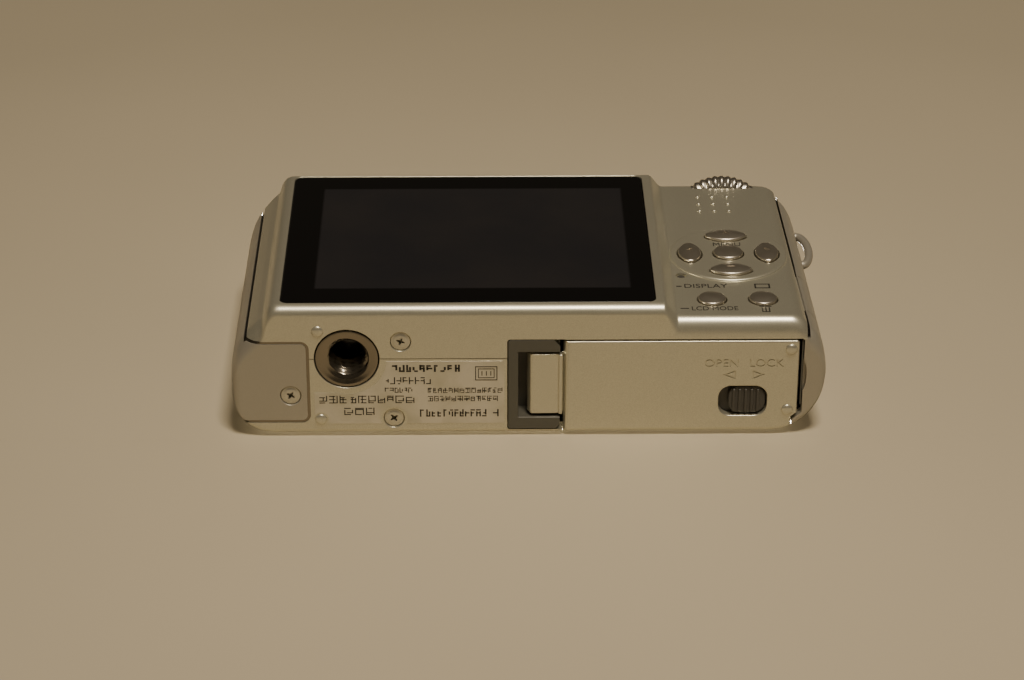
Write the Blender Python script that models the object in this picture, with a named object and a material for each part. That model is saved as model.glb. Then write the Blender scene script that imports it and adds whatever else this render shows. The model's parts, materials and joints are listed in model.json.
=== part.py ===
"""Compact digital camera standing on its base.

Lens towards -Y, display towards +Y, up is +Z. Facing the display, +X is on the left.
Lengths are in millimetres here and become metres when a mesh is made.
"""

import math

import bmesh
import bpy
from mathutils import Vector

MM = 0.001
GAP = 0.3  # clearance between neighbouring pieces

# Casing: outer faces and walls
FOOT_HEIGHT = 0.6
BASE_Z = FOOT_HEIGHT
TOP_Z = 51.1
FRONT_Y = -10.5
PANEL_Y = 9.65
DISPLAY_Y = 12.1
PLAIN_END_X = 47.7  # the end without controls
GRIP_END_X = -46.3
WALL = 1.2
EDGE_ROUND = 0.7
TOP_CORNER = 6.0
GRIP_TAPER = 0.8  # how much narrower the grip end is at its top
SEAM_Y = 3.0  # front and rear shells meet here
INNER_TOP_Z = TOP_Z - WALL

# Grip-end trim, plain-end trim with its tab under the base
GRIP_TRIM_X = -42.65
GRIP_TRIM_REAR_Y = 9.15
PLAIN_TRIM_X = 45.6
PLAIN_TRIM_Y = (-5.4, 6.2)
TAB_X = 35.8
TAB_Y = (-7.9, 5.6)

# Display
WINDOW_X = (-19.1, 39.65)
WINDOW_Z = (2.4, 49.6)
WINDOW_CORNER = 1.2
STEP_X = -21.4  # where the raised display frame drops to the control panel

# Battery door, its hinge and latch
DOOR_X = (-41.9, -4.7)
DOOR_REAR_Y = 5.95
DOOR_THICK = 1.3
DOOR_TOP_Z = BASE_Z + DOOR_THICK
PIN_X = -0.1
PIN_Z = 2.2
PIN_RADIUS = 0.5
PIN_BORE = PIN_RADIUS + GAP
KNUCKLE_RADIUS = 1.4
ARM_Y = (-7.1, 3.6)
BLOCK_X = (-4.2, 4.0)
BLOCK_Y = (-9.7, 6.2)
BLOCK_TOP_Z = 5.2
BLOCK_WINDOW_X = 2.4
BLOCK_WINDOW_Y = (-7.6, 4.0)
LATCH_SLOT_X = (-37.05, -29.35)
LATCH_SLOT_Y = (-7.45, -2.15)
LATCH_PAD_X = (-36.85, -30.95)
LATCH_RIBS = 5

# Underside: tripod socket, screws (x, y) and feet (x, y)
TRIPOD_X, TRIPOD_Y = 29.4, 3.0
TRIPOD_RING = 5.0
TRIPOD_NECK = 4.3
TRIPOD_BORE = 3.05
TRIPOD_DEPTH = 6.6
SCREWS = {
    "base_screw_rear": (20.9, 6.0),
    "base_screw_front": (22.1, -7.65),
    "tab_screw": (38.4, -3.55),
}
SCREW_HEAD = 1.6
SHELL_FEET = {"rear": (33.9, 7.9), "front": (33.7, -7.8)}
DOOR_FEET = ((-40.6, 4.4), (-40.3, -6.4))

# Rear controls
PAD_X, PAD_Z = -32.15, 23.7
PAD_RADIUS = 9.6
PAD_TOP_Y = PANEL_Y + 0.35
ARROW_OFFSET = 6.3
ARROW_LENGTH, ARROW_WIDTH = 7.2, 3.8
CENTRE_BUTTON = 2.4
SMALL_BUTTON = 2.2
SMALL_BUTTONS = {"display_button": -28.4, "delete_button": -36.5}
SMALL_BUTTON_Z = 7.85
BUTTON_LOW_Y = 7.9
PAD_BUTTON_TOP_Y = PAD_TOP_Y + 0.7
SMALL_BUTTON_TOP_Y = PANEL_Y + 0.65

# Top controls
DIAL_X, DIAL_Y = -33.1, 2.8
DIAL_RADIUS = 8.3
DIAL_Z = (49.95, 52.4)
DIAL_TEETH = 40
SHUTTER_X, SHUTTER_Y = -15.2, -0.4
SHUTTER_RADIUS = 4.2
SHUTTER_TOP_Z = 53.7
LEVER_RADIUS = 7.2
LEVER_Z = (TOP_Z + GAP, 53.0)
SWITCH_X, SWITCH_Y = -1.4, -0.4
SWITCH_TRAVEL = 3.0
STABILISER_X, STABILISER_Y = 8.6, -0.4
STABILISER_RADIUS = 2.1
SWITCH_BOARD_Z = (45.9, 46.6)

# Lens
LENS_X, LENS_Z = 17.2, 25.6
LENS_RING = 19.0
OUTER_BARREL = 15.9
INNER_BARREL = 13.4
BARRIER_OPENING = 5.3
LENS_FRONT_Y = -12.1
LENS_SHELF_Y = -9.4
BLADE_RADIUS = 5.9
BLADE_PIVOT = (10.2, 1.7)  # sideways and up from the lens axis
BLADE_Y = (-10.25, -9.75)

# Flash and focus lamp
FLASH_X = (-4.6, 5.2)
FLASH_Z = (42.2, 47.5)
LAMP_X, LAMP_Z = -10.3, 45.0
LAMP_RADIUS = 1.8

# Battery and card
BATTERY_X = (-40.95, -5.95)
BATTERY_Y = (-6.35, 1.45)
BATTERY_Z = (3.2, 44.7)
CARD_X = (-30.2, -6.2)
CARD_Y = (3.1, 5.2)
CARD_Z = (3.0, 35.0)
CATCH_X = (-15.0, -10.0)

# Grip end: socket flap and strap eyelet
FLAP_Y = (2.6, 7.3)
FLAP_Z = (8.3, 20.2)
FLAP_HINGE_X, FLAP_HINGE_Y = -46.25, 2.4
EYELET_Y = 3.4
EYELET_Z = (31.9, 44.1)
EYELET_OUT_X = -47.7
EYELET_WIRE = 0.7

MATERIALS = {  # colour, metallic, roughness
    "silver_paint": ((0.60, 0.56, 0.48), 0.6, 0.42),
    "trim_paint": ((0.50, 0.48, 0.44), 0.5, 0.45),
    "dark_plastic": ((0.09, 0.09, 0.085), 0.0, 0.55),
    "black_gloss": ((0.010, 0.010, 0.012), 0.0, 0.08),
    "chrome": ((0.70, 0.68, 0.64), 1.0, 0.14),
    "steel": ((0.55, 0.54, 0.52), 1.0, 0.32),
    "clear": ((0.80, 0.82, 0.82), 0.0, 0.05),
    "label_film": ((0.62, 0.59, 0.52), 0.0, 0.4),
    "board_green": ((0.03, 0.16, 0.07), 0.0, 0.5),
    "amber": ((0.75, 0.28, 0.05), 0.0, 0.12),
    "battery_grey": ((0.14, 0.14, 0.15), 0.0, 0.5),
    "card_blue": ((0.05, 0.10, 0.22), 0.0, 0.45),
    "copper_film": ((0.45, 0.22, 0.06), 0.3, 0.4),
}


def clear_scene():
    for item in list(bpy.data.objects):
        bpy.data.objects.remove(item, do_unlink=True)


def make_material(name):
    colour, metallic, roughness = MATERIALS[name]
    material = bpy.data.materials.get(name) or bpy.data.materials.new(name)
    material.use_nodes = True
    shader = material.node_tree.nodes["Principled BSDF"]
    shader.inputs["Base Color"].default_value = (*colour, 1.0)
    shader.inputs["Metallic"].default_value = metallic
    shader.inputs["Roughness"].default_value = roughness
    return material


# Outlines: lists of (a, b), the two row axes across the extrusion in X, Y, Z order


def arc(a, b, radii, start, end, steps):
    """Points of an elliptical arc about (a, b), with angles in degrees."""
    across, up = radii
    turns = [math.radians(start + (end - start) * i / steps) for i in range(steps + 1)]
    return [(a + across * math.cos(t), b + up * math.sin(t)) for t in turns]


def circle(a, b, radius, sides=32):
    return arc(a, b, (radius, radius), 0, 360, sides)[:-1]


def rounded_box(a, b, radius, steps=4):
    """Outline of a rectangle between the ranges a and b with round corners."""
    radii = (radius, radius)
    return (
        arc(a[1] - radius, b[0] + radius, radii, -90, 0, steps)
        + arc(a[1] - radius, b[1] - radius, radii, 0, 90, steps)
        + arc(a[0] + radius, b[1] - radius, radii, 90, 180, steps)
        + arc(a[0] + radius, b[0] + radius, radii, 180, 270, steps)
    )


def almond(a, b, length, width, upright, steps=8):
    """Lens shape of two equal arcs, which meet in a point at each end."""
    half, rise = length / 2, width / 2
    radius = (half * half + rise * rise) / (2 * rise)
    reach = math.degrees(math.asin(half / radius))
    upper = arc(0, rise - radius, (radius, radius), 90 - reach, 90 + reach, steps)
    lower = [(-x, -y) for x, y in upper]
    outline = upper[:-1] + lower[:-1]
    return [(a + y, b + x) if upright else (a + x, b + y) for x, y in outline]


def inset(outline, distance):
    """The same number of points, moved inwards by the distance; the outline runs anticlockwise."""
    moved = []
    count = len(outline)
    for i, here in enumerate(outline):
        before, after = Vector(outline[i - 1]), Vector(outline[(i + 1) % count])
        point = Vector(here)
        into = (point - before).normalized()
        out = (after - point).normalized()
        normal = Vector((-(into.y + out.y), into.x + out.x)).normalized()
        lean = max(0.3, normal.dot(Vector((-out.y, out.x))))
        moved.append(tuple(point + normal * (distance / lean)))
    return moved


# Solids


def to_object(mesh_build):
    bmesh.ops.recalc_face_normals(mesh_build, faces=mesh_build.faces)
    bmesh.ops.scale(mesh_build, vec=(MM, MM, MM), verts=mesh_build.verts)
    mesh = bpy.data.meshes.new("solid")
    mesh_build.to_mesh(mesh)
    mesh_build.free()
    item = bpy.data.objects.new("solid", mesh)
    bpy.context.scene.collection.objects.link(item)
    return item


def spot(axis, a, b, along):
    """Row position of the outline point (a, b) at a place along the axis."""
    return {"X": (along, a, b), "Y": (a, along, b), "Z": (a, b, along)}[axis]


def loft(axis, sections):
    """Solid through outlines of equal length: (place along the axis, outline) for each."""
    build = bmesh.new()
    rings = [
        [build.verts.new(spot(axis, a, b, along)) for a, b in outline]
        for along, outline in sections
    ]
    for low, high in zip(rings, rings[1:]):
        for i in range(len(low)):
            j = (i + 1) % len(low)
            build.faces.new((low[i], low[j], high[j], high[i]))
    build.faces.new(rings[0])
    build.faces.new(rings[-1])
    return to_object(build)


def prism(axis, outline, low, high):
    return loft(axis, [(low, outline), (high, outline)])


def box(x, y, z):
    return prism("Z", [(x[0], y[0]), (x[1], y[0]), (x[1], y[1]), (x[0], y[1])], z[0], z[1])


def rod(axis, a, b, radius, low, high, sides=32):
    return prism(axis, circle(a, b, radius, sides), low, high)


def turned(axis, a, b, profile, sides=40):
    """Ring turned about the axis through (a, b), from a closed profile of (radius, place along)."""
    build = bmesh.new()
    rings = [
        [build.verts.new(spot(axis, p, q, along)) for p, q in circle(a, b, radius, sides)]
        for radius, along in profile
    ]
    for low, high in zip(rings, rings[1:] + rings[:1]):
        for i in range(sides):
            j = (i + 1) % sides
            build.faces.new((low[i], low[j], high[j], high[i]))
    return to_object(build)


def stepped_rod(axis, a, b, steps, sides=32):
    """Solid of revolution from (radius, place along) pairs, flat at both ends."""
    return loft(axis, [(along, circle(a, b, radius, sides)) for radius, along in steps])


def bent_wire(points, radius, sides=10):
    """Round wire along points (x, z) in the plane y = EYELET_Y."""
    build = bmesh.new()
    rings = []
    for i, (x, z) in enumerate(points):
        before, after = points[max(i - 1, 0)], points[min(i + 1, len(points) - 1)]
        along = Vector((after[0] - before[0], 0, after[1] - before[1])).normalized()
        across = along.cross(Vector((0, 1, 0)))
        ring = []
        for k in range(sides):
            turn = 2 * math.pi * k / sides
            offset = across * math.cos(turn) + Vector((0, 1, 0)) * math.sin(turn)
            ring.append(build.verts.new(Vector((x, EYELET_Y, z)) + offset * radius))
        rings.append(ring)
    for low, high in zip(rings, rings[1:]):
        for i in range(sides):
            j = (i + 1) % sides
            build.faces.new((low[i], low[j], high[j], high[i]))
    build.faces.new(rings[0])
    build.faces.new(rings[-1])
    return to_object(build)


def boolean(target, tool, operation):
    """Applies a Boolean to the target and removes the tool."""
    modifier = target.modifiers.new("Boolean", "BOOLEAN")
    modifier.operation = operation
    modifier.object = tool
    graph = bpy.context.evaluated_depsgraph_get()
    mesh = bpy.data.meshes.new_from_object(target.evaluated_get(graph))
    target.modifiers.clear()
    target.data = mesh
    bpy.data.objects.remove(tool, do_unlink=True)
    return target


def cut(target, *tools):
    for tool in tools:
        boolean(target, tool, "DIFFERENCE")
    return target


def join(target, *tools):
    for tool in tools:
        boolean(target, tool, "UNION")
    return target


def common(target, tool):
    return boolean(target, tool, "INTERSECT")


def finish(item, name, material, origin=None, smooth_angle=35):
    """Names a piece, colours and shades it, and puts its origin (mm) on its joint if it moves."""
    item.name = name
    item.data.name = name
    item.data.materials.clear()
    item.data.materials.append(make_material(material))
    item.data.shade_smooth()
    item.data.set_sharp_from_angle(angle=math.radians(smooth_angle))
    if origin is not None:
        place = Vector(origin) * MM
        for vertex in item.data.vertices:
            vertex.co -= place
        item.location = place
    return item


# Casing


def plan_outline():
    """Body seen from above, anticlockwise: square-cut plain end, round grip end, raised display frame."""
    return (
        arc(41.2, -4.0, (6.5, 6.5), -90, 0, 7)
        + [(PLAIN_END_X, 1.0), (47.2, 3.2)]
        + arc(41.7, DISPLAY_Y - 1.6, (1.6, 1.6), 20, 90, 3)
        + arc(STEP_X + 1.5, DISPLAY_Y - 1.4, (1.4, 1.4), 90, 165, 3)
        + [(STEP_X - 0.4, PANEL_Y)]
        + arc(-42.0, PANEL_Y - 1.2, (1.2, 1.2), 90, 155, 3)
        + [(-44.3, 6.7), (-45.9, 2.6)]
        + arc(-37.3, -0.1, (9.0, 10.4), 180, 270, 9)
    )


def inside_outline():
    """The cavity seen from above, one wall thickness inside the body's outline."""
    rear, step = DISPLAY_Y - WALL, STEP_X + WALL + 0.1
    return (
        arc(41.2, -4.0, (6.5 - WALL, 6.5 - WALL), -90, 0, 7)
        + [(PLAIN_END_X - WALL, 0.8), (47.2 - WALL, 2.8), (41.9, rear), (step, rear)]
        + [(step - 0.4, PANEL_Y - WALL), (-42.0, PANEL_Y - WALL)]
        + [(-43.1, 6.4), (-45.9 + WALL, 2.4)]
        + arc(-37.3, -0.1, (9.0 - WALL, 10.4 - WALL), 180, 270, 9)
    )


def front_view_outline():
    """Body seen along Y: flat base, round top corners, grip end leaning in slightly."""
    radii = (TOP_CORNER, TOP_CORNER)
    return (
        [(GRIP_END_X, BASE_Z), (PLAIN_END_X, BASE_Z)]
        + arc(PLAIN_END_X - TOP_CORNER, TOP_Z - TOP_CORNER, radii, 0, 90, 6)
        + arc(GRIP_END_X + GRIP_TAPER + TOP_CORNER, TOP_Z - TOP_CORNER, radii, 90, 180, 6)
    )


def body_solid():
    """The body as one solid block with eased edges."""
    plan = plan_outline()
    eased, half_eased = inset(plan, EDGE_ROUND), inset(plan, EDGE_ROUND * 0.3)
    sections = [
        (BASE_Z, eased),
        (BASE_Z + EDGE_ROUND * 0.3, half_eased),
        (BASE_Z + EDGE_ROUND, plan),
        (TOP_Z - EDGE_ROUND, plan),
        (TOP_Z - EDGE_ROUND * 0.3, half_eased),
        (TOP_Z, eased),
    ]
    return common(loft("Z", sections), front_view_prism(0.0))


def front_view_prism(depth_in):
    """The front view outline run through the whole depth; it passes the base by 1 mm to cut cleanly."""
    outline = inset(front_view_outline(), depth_in)
    lowest = min(z for _, z in outline)
    return prism("Y", [(x, z - 1.0 if z < lowest + 0.01 else z) for x, z in outline], -20, 20)


def casing():
    """The body hollowed to its wall thickness."""
    room = prism("Z", inside_outline(), BASE_Z + WALL, INNER_TOP_Z)
    return cut(body_solid(), common(room, front_view_prism(WALL)))


def foot(x, y):
    sides = 14
    return stepped_rod("Z", x, y, [(0.45, 0.0), (0.8, 0.2), (0.95, BASE_Z + 0.35)], sides)


def plain_trim_region(extra=0.0):
    side_y = (PLAIN_TRIM_Y[0] - extra, PLAIN_TRIM_Y[1] + extra)
    tab_y = (TAB_Y[0] - extra, TAB_Y[1] + extra)
    side = box((PLAIN_TRIM_X - extra, 60), side_y, (-5, 60))
    tab = box((TAB_X - extra, 60), tab_y, (-5, BASE_Z + WALL + 0.2 + extra))
    return join(side, tab)


def grip_trim_region(extra=0.0):
    return box((-60, GRIP_TRIM_X + extra), (-20, GRIP_TRIM_REAR_Y + extra), (-5, 60))


def base_openings():
    """What the battery door, its hinge block, the tripod ring and the screws need open in the base."""
    depth = (-5, DOOR_TOP_Z + GAP)
    door = box((DOOR_X[0] - GAP, DOOR_X[1] + 0.1), (-20, DOOR_REAR_Y + GAP), depth)
    block = box((DOOR_X[1] - 0.5, BLOCK_X[1] + GAP), (BLOCK_Y[0] - 0.2, BLOCK_Y[1] + GAP), depth)
    ring = rod("Z", TRIPOD_X, TRIPOD_Y, TRIPOD_RING + GAP, -5, 6)
    screws = [rod("Z", x, y, SCREW_HEAD + GAP, -5, 4, 20) for x, y in SCREWS.values()]
    return [door, block, ring, *screws]


def top_openings():
    dial = rod("Z", DIAL_X, DIAL_Y, DIAL_RADIUS + 0.4, DIAL_Z[0] - GAP, 60, 48)
    lever = rod("Z", SHUTTER_X, SHUTTER_Y, SHUTTER_RADIUS + 1.2, 48, 60)
    half_slot = SWITCH_TRAVEL / 2 + 1.3
    slot_x = (SWITCH_X - half_slot, SWITCH_X + half_slot)
    switch = prism("Z", rounded_box(slot_x, (SWITCH_Y - 1.1, SWITCH_Y + 1.1), 1.0), 48, 60)
    stabiliser = rod("Z", STABILISER_X, STABILISER_Y, STABILISER_RADIUS + GAP, 48, 60, 24)
    return [dial, lever, switch, stabiliser]


def front_shell():
    shell = common(casing(), box((-60, 60), (-20, SEAM_Y - GAP / 2), (-5, 60)))
    cut(shell, plain_trim_region(GAP), grip_trim_region(GAP))
    cut(shell, *base_openings(), *top_openings())
    lens_hole = rod("Y", LENS_X, LENS_Z, LENS_RING - 0.9, -20, 0, 64)
    flash_hole = prism("Y", rounded_box(FLASH_X, FLASH_Z, 1.2), -20, 0)
    lamp_hole = rod("Y", LAMP_X, LAMP_Z, LAMP_RADIUS + GAP, -20, 0, 20)
    cut(shell, lens_hole, flash_hole, lamp_hole)
    return finish(join(shell, foot(*SHELL_FEET["front"])), "front_shell", "silver_paint")


def button_outlines(extra):
    """Outline of each rear button, by name, larger by the clearance asked for."""
    length, width = ARROW_LENGTH + 2.6 * extra, ARROW_WIDTH + 2 * extra
    outlines = {
        "up_button": almond(PAD_X, PAD_Z + ARROW_OFFSET, length, width, False),
        "down_button": almond(PAD_X, PAD_Z - ARROW_OFFSET, length, width, False),
        "left_button": almond(PAD_X + ARROW_OFFSET, PAD_Z, length, width, True),
        "right_button": almond(PAD_X - ARROW_OFFSET, PAD_Z, length, width, True),
        "centre_button": circle(PAD_X, PAD_Z, CENTRE_BUTTON + extra, 24),
    }
    for name, x in SMALL_BUTTONS.items():
        outlines[name] = circle(x, SMALL_BUTTON_Z, SMALL_BUTTON + extra, 24)
    return outlines


def rear_shell():
    shell = common(casing(), box((-60, 60), (SEAM_Y + GAP / 2, 20), (-5, 60)))
    cut(shell, plain_trim_region(GAP), grip_trim_region(GAP))
    cut(shell, *base_openings(), *top_openings())
    gap_x = (WINDOW_X[0] - GAP, WINDOW_X[1] + GAP)
    gap_z = (WINDOW_Z[0] - GAP, WINDOW_Z[1] + GAP - 0.1)
    cut(shell, prism("Y", rounded_box(gap_x, gap_z, WINDOW_CORNER + GAP), PANEL_Y, 20))
    pad = [(PAD_RADIUS, PANEL_Y - 0.5), (PAD_RADIUS, PANEL_Y + 0.05), (PAD_RADIUS - 0.35, PAD_TOP_Y)]
    join(shell, stepped_rod("Y", PAD_X, PAD_Z, pad, 48))
    cut(shell, *[prism("Y", outline, 5, 20) for outline in button_outlines(GAP).values()])
    return finish(join(shell, foot(*SHELL_FEET["rear"])), "rear_shell", "silver_paint")


def side_trims():
    plain = common(casing(), plain_trim_region())
    screw_x, screw_y = SCREWS["tab_screw"]
    cut(plain, rod("Z", screw_x, screw_y, SCREW_HEAD + GAP, -5, 4, 20))
    finish(plain, "plain_end_trim", "trim_paint")
    grip = common(casing(), grip_trim_region())
    flap_y = (FLAP_Y[0] - GAP, FLAP_Y[1] + GAP)
    flap_z = (FLAP_Z[0] - GAP, FLAP_Z[1] + GAP)
    cut(grip, box((-60, -40), flap_y, flap_z))
    for z in eyelet_ends():
        cut(grip, rod("X", EYELET_Y, z, EYELET_WIRE + GAP, -60, -40, 16))
    finish(grip, "grip_end_trim", "trim_paint")


def display_window():
    plate = prism("Y", rounded_box(WINDOW_X, WINDOW_Z, WINDOW_CORNER), DISPLAY_Y - 1.2, DISPLAY_Y - 0.1)
    finish(plate, "display_window", "black_gloss")


# Underside


def battery_door():
    door = common(body_solid(), box(DOOR_X, (-20, DOOR_REAR_Y), (-5, DOOR_TOP_Z)))
    arm = box((DOOR_X[1] - 1.0, PIN_X), ARM_Y, (BASE_Z + 0.2, DOOR_TOP_Z))
    knuckle = rod("Y", PIN_X, PIN_Z, KNUCKLE_RADIUS, ARM_Y[0], ARM_Y[1], 24)
    join(door, arm, knuckle)
    slot = prism("Z", rounded_box(LATCH_SLOT_X, LATCH_SLOT_Y, 2.3), -5, 6)
    cut(door, rod("Y", PIN_X, PIN_Z, PIN_BORE, -20, 20, 16), slot)
    join(door, *[foot(x, y) for x, y in DOOR_FEET])
    middle_y = (FRONT_Y + DOOR_REAR_Y) / 2
    finish(door, "battery_door", "silver_paint", (PIN_X, middle_y, PIN_Z))


def hinge_block():
    block = box(BLOCK_X, (FRONT_Y + WALL + GAP, BLOCK_Y[1]), (BASE_Z + 0.5, BLOCK_TOP_Z))
    join(block, box(BLOCK_X, BLOCK_Y, (BASE_Z + 0.1, DOOR_TOP_Z)))
    window = box((BLOCK_X[0] - 1, BLOCK_WINDOW_X), BLOCK_WINDOW_Y, (-5, BLOCK_TOP_Z - 0.8))
    pin_hole = rod("Y", PIN_X, PIN_Z, PIN_BORE, BLOCK_Y[0] + 0.8, BLOCK_Y[1] - 0.8, 16)
    finish(cut(block, window, pin_hole), "hinge_block", "dark_plastic")
    pin = rod("Y", PIN_X, PIN_Z, PIN_RADIUS, BLOCK_Y[0] + 1.1, BLOCK_Y[1] - 1.1, 16)
    finish(pin, "door_hinge_pin", "steel")


def door_latch():
    """A ribbed thumb pad in the door's slot, on a wider plate that runs behind the door."""
    pad_y = (LATCH_SLOT_Y[0] + 0.3, LATCH_SLOT_Y[1] - 0.3)
    plate_y = (LATCH_SLOT_Y[0] - 0.8, LATCH_SLOT_Y[1] + 0.8)
    pad = prism("Z", rounded_box(LATCH_PAD_X, pad_y, 1.9), BASE_Z + 0.35, DOOR_TOP_Z + 0.6)
    join(pad, box((-38.6, -28.6), plate_y, (DOOR_TOP_Z + 0.25, DOOR_TOP_Z + 0.95)))
    for i in range(LATCH_RIBS):
        x = LATCH_PAD_X[0] + 1.0 + i * 0.95
        cut(pad, box((x, x + 0.45), (pad_y[0] - 1, pad_y[1] + 1), (-1, BASE_Z + 0.65)))
    finish(pad, "door_latch", "dark_plastic", (sum(LATCH_PAD_X) / 2, sum(pad_y) / 2, BASE_Z))


def tripod_socket():
    top = BASE_Z + TRIPOD_DEPTH + 1.0
    steps = [
        (TRIPOD_RING - 0.25, BASE_Z + 0.05),
        (TRIPOD_RING, BASE_Z + 0.3),
        (TRIPOD_RING, 2.6),
        (TRIPOD_NECK, 2.65),
        (TRIPOD_NECK, top),
    ]
    socket = stepped_rod("Z", TRIPOD_X, TRIPOD_Y, steps, 48)
    cut(socket, rod("Z", TRIPOD_X, TRIPOD_Y, TRIPOD_BORE, -5, BASE_Z + TRIPOD_DEPTH, 32))
    finish(socket, "tripod_socket", "steel")


def base_screws():
    """Cross-head screws, each in a counterbore of the casing."""
    head = BASE_Z + 0.15
    steps = [
        (1.3, head),
        (SCREW_HEAD, head + 0.25),
        (SCREW_HEAD, head + 0.9),
        (0.8, head + 0.95),
        (0.8, head + 2.8),
    ]
    for name, (x, y) in SCREWS.items():
        screw = stepped_rod("Z", x, y, steps, 20)
        for half in ((1.0, 0.22), (0.22, 1.0)):
            cut(screw, box((x - half[0], x + half[0]), (y - half[1], y + half[1]), (-1, head + 0.55)))
        finish(screw, name, "steel")


def base_label():
    """Thin film, L-shaped, cut round the tripod ring, a screw and a foot."""
    top, bottom = BASE_Z - 0.05, BASE_Z - 0.2
    film = box((4.6, 34.7), (-8.6, SEAM_Y - 0.4), (bottom, top))
    notch = box((23.8, 40), (-3.0, 10), (-5, 5))
    screw_x, screw_y = SCREWS["base_screw_front"]
    screw_room = rod("Z", screw_x, screw_y, SCREW_HEAD + 0.9, -5, 5, 24)
    foot_room = rod("Z", *SHELL_FEET["front"], 1.5, -5, 5, 20)
    ring_room = rod("Z", TRIPOD_X, TRIPOD_Y, TRIPOD_RING + 0.8, -5, 5, 40)
    finish(cut(film, notch, ring_room, screw_room, foot_room), "base_label", "label_film")


# Rear controls


def rear_buttons():
    for name, outline in button_outlines(0.0).items():
        low, high = BUTTON_LOW_Y, SMALL_BUTTON_TOP_Y if name in SMALL_BUTTONS else PAD_BUTTON_TOP_Y
        sections = [
            (low, outline),
            (high - 0.6, outline),
            (high - 0.2, inset_to_centre(outline, 0.88)),
            (high, inset_to_centre(outline, 0.62)),
        ]
        button = loft("Y", sections)
        middle = [sum(values) / len(outline) for values in zip(*outline)]
        finish(button, name, "chrome", (middle[0], high, middle[1]))


def inset_to_centre(outline, share):
    """The outline shrunk towards its middle."""
    a, b = (sum(values) / len(outline) for values in zip(*outline))
    return [(a + (p - a) * share, b + (q - b) * share) for p, q in outline]


# Top controls


def mode_dial():
    rim = []
    for i in range(DIAL_TEETH * 2):
        radius = DIAL_RADIUS if i % 2 else DIAL_RADIUS - 0.35
        turn = math.pi * i / DIAL_TEETH
        rim.append((DIAL_X + radius * math.cos(turn), DIAL_Y + radius * math.sin(turn)))
    top_face = inset_to_centre(rim, 0.95)
    low, high = DIAL_Z
    dial = loft("Z", [(low, rim), (high - 0.4, rim), (high, top_face)])
    join(dial, rod("Z", DIAL_X, DIAL_Y, 1.5, SWITCH_BOARD_Z[1] + 0.5, low + 0.5, 20))
    finish(dial, "mode_dial", "steel", (DIAL_X, DIAL_Y, low))


def zoom_lever():
    low, high = LEVER_Z
    bore = SHUTTER_RADIUS + GAP
    stem = SHUTTER_RADIUS + 0.9
    profile = [(bore, high), (LEVER_RADIUS - 0.6, high), (LEVER_RADIUS, high - 0.5), (LEVER_RADIUS, low)]
    profile += [(stem, low), (stem, 48.6), (bore, 48.6)]
    lever = turned("Z", SHUTTER_X, SHUTTER_Y, profile)
    nub_x = (SHUTTER_X - 1.6, SHUTTER_X + 1.6)
    nub_y = (SHUTTER_Y - 8.9, SHUTTER_Y - 6.4)
    join(lever, prism("Z", rounded_box(nub_x, nub_y, 0.9), low, high - 0.1))
    finish(lever, "zoom_lever", "steel", (SHUTTER_X, SHUTTER_Y, low))


def shutter_button():
    radius, top = SHUTTER_RADIUS, SHUTTER_TOP_Z
    steps = [
        (1.2, SWITCH_BOARD_Z[1] + 0.9),
        (1.2, 48.9),
        (radius, 49.0),
        (radius, top - 0.5),
        (radius - 0.5, top - 0.15),
        (radius - 1.6, top),
    ]
    button = stepped_rod("Z", SHUTTER_X, SHUTTER_Y, steps)
    finish(button, "shutter_button", "chrome", (SHUTTER_X, SHUTTER_Y, top))


def power_switch():
    """Slides along X; it rests at the off end of its slot."""
    x, y = SWITCH_X + SWITCH_TRAVEL / 2, SWITCH_Y
    outline = rounded_box((x - 2.7, x + 2.7), (y - 1.7, y + 1.7), 1.2)
    knob = prism("Z", outline, TOP_Z + 0.2, TOP_Z + 1.3)
    neck = box((x - 1.0, x + 1.0), (y - 0.8, y + 0.8), (SWITCH_BOARD_Z[1] + 0.4, TOP_Z + 0.5))
    finish(join(knob, neck), "power_switch", "chrome", (x, y, TOP_Z))


def stabiliser_button():
    radius, top = STABILISER_RADIUS, TOP_Z + 0.55
    steps = [
        (1.0, SWITCH_BOARD_Z[1] + 0.9),
        (1.0, 48.9),
        (radius, 49.0),
        (radius, top - 0.25),
        (radius - 0.5, top),
    ]
    button = stepped_rod("Z", STABILISER_X, STABILISER_Y, steps, 24)
    finish(button, "stabiliser_button", "chrome", (STABILISER_X, STABILISER_Y, top))


# Lens


def lens_ring():
    front, seat, rear = LENS_FRONT_Y, -10.8, -8.6
    inner, sleeve = OUTER_BARREL + 0.4, 17.8
    profile = [
        (LENS_RING, front + 0.7),
        (LENS_RING - 0.8, front),
        (inner + 0.9, front),
        (inner, front + 0.9),
        (inner, rear),
        (sleeve, rear),
        (sleeve, seat),
        (LENS_RING, seat),
    ]
    finish(turned("Y", LENS_X, LENS_Z, profile), "lens_ring", "steel")


def lens_housing():
    front, floor, rear = -8.3, 4.2, 5.2
    outer, inner, opening = 18.2, OUTER_BARREL + 0.5, 6.0
    profile = [
        (outer, front),
        (outer, rear),
        (opening, rear),
        (opening, floor),
        (inner, floor),
        (inner, front),
    ]
    finish(turned("Y", LENS_X, LENS_Z, profile), "lens_housing", "dark_plastic")


def lens_outer_barrel():
    front, rear = -11.1, 3.6
    inner, lip = OUTER_BARREL - 1.2, INNER_BARREL + GAP
    profile = [
        (OUTER_BARREL, front),
        (OUTER_BARREL, rear),
        (inner, rear),
        (inner, front + 0.8),
        (lip, front + 0.8),
        (lip, front),
    ]
    finish(turned("Y", LENS_X, LENS_Z, profile), "lens_outer_barrel", "steel", (LENS_X, front, LENS_Z))


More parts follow.
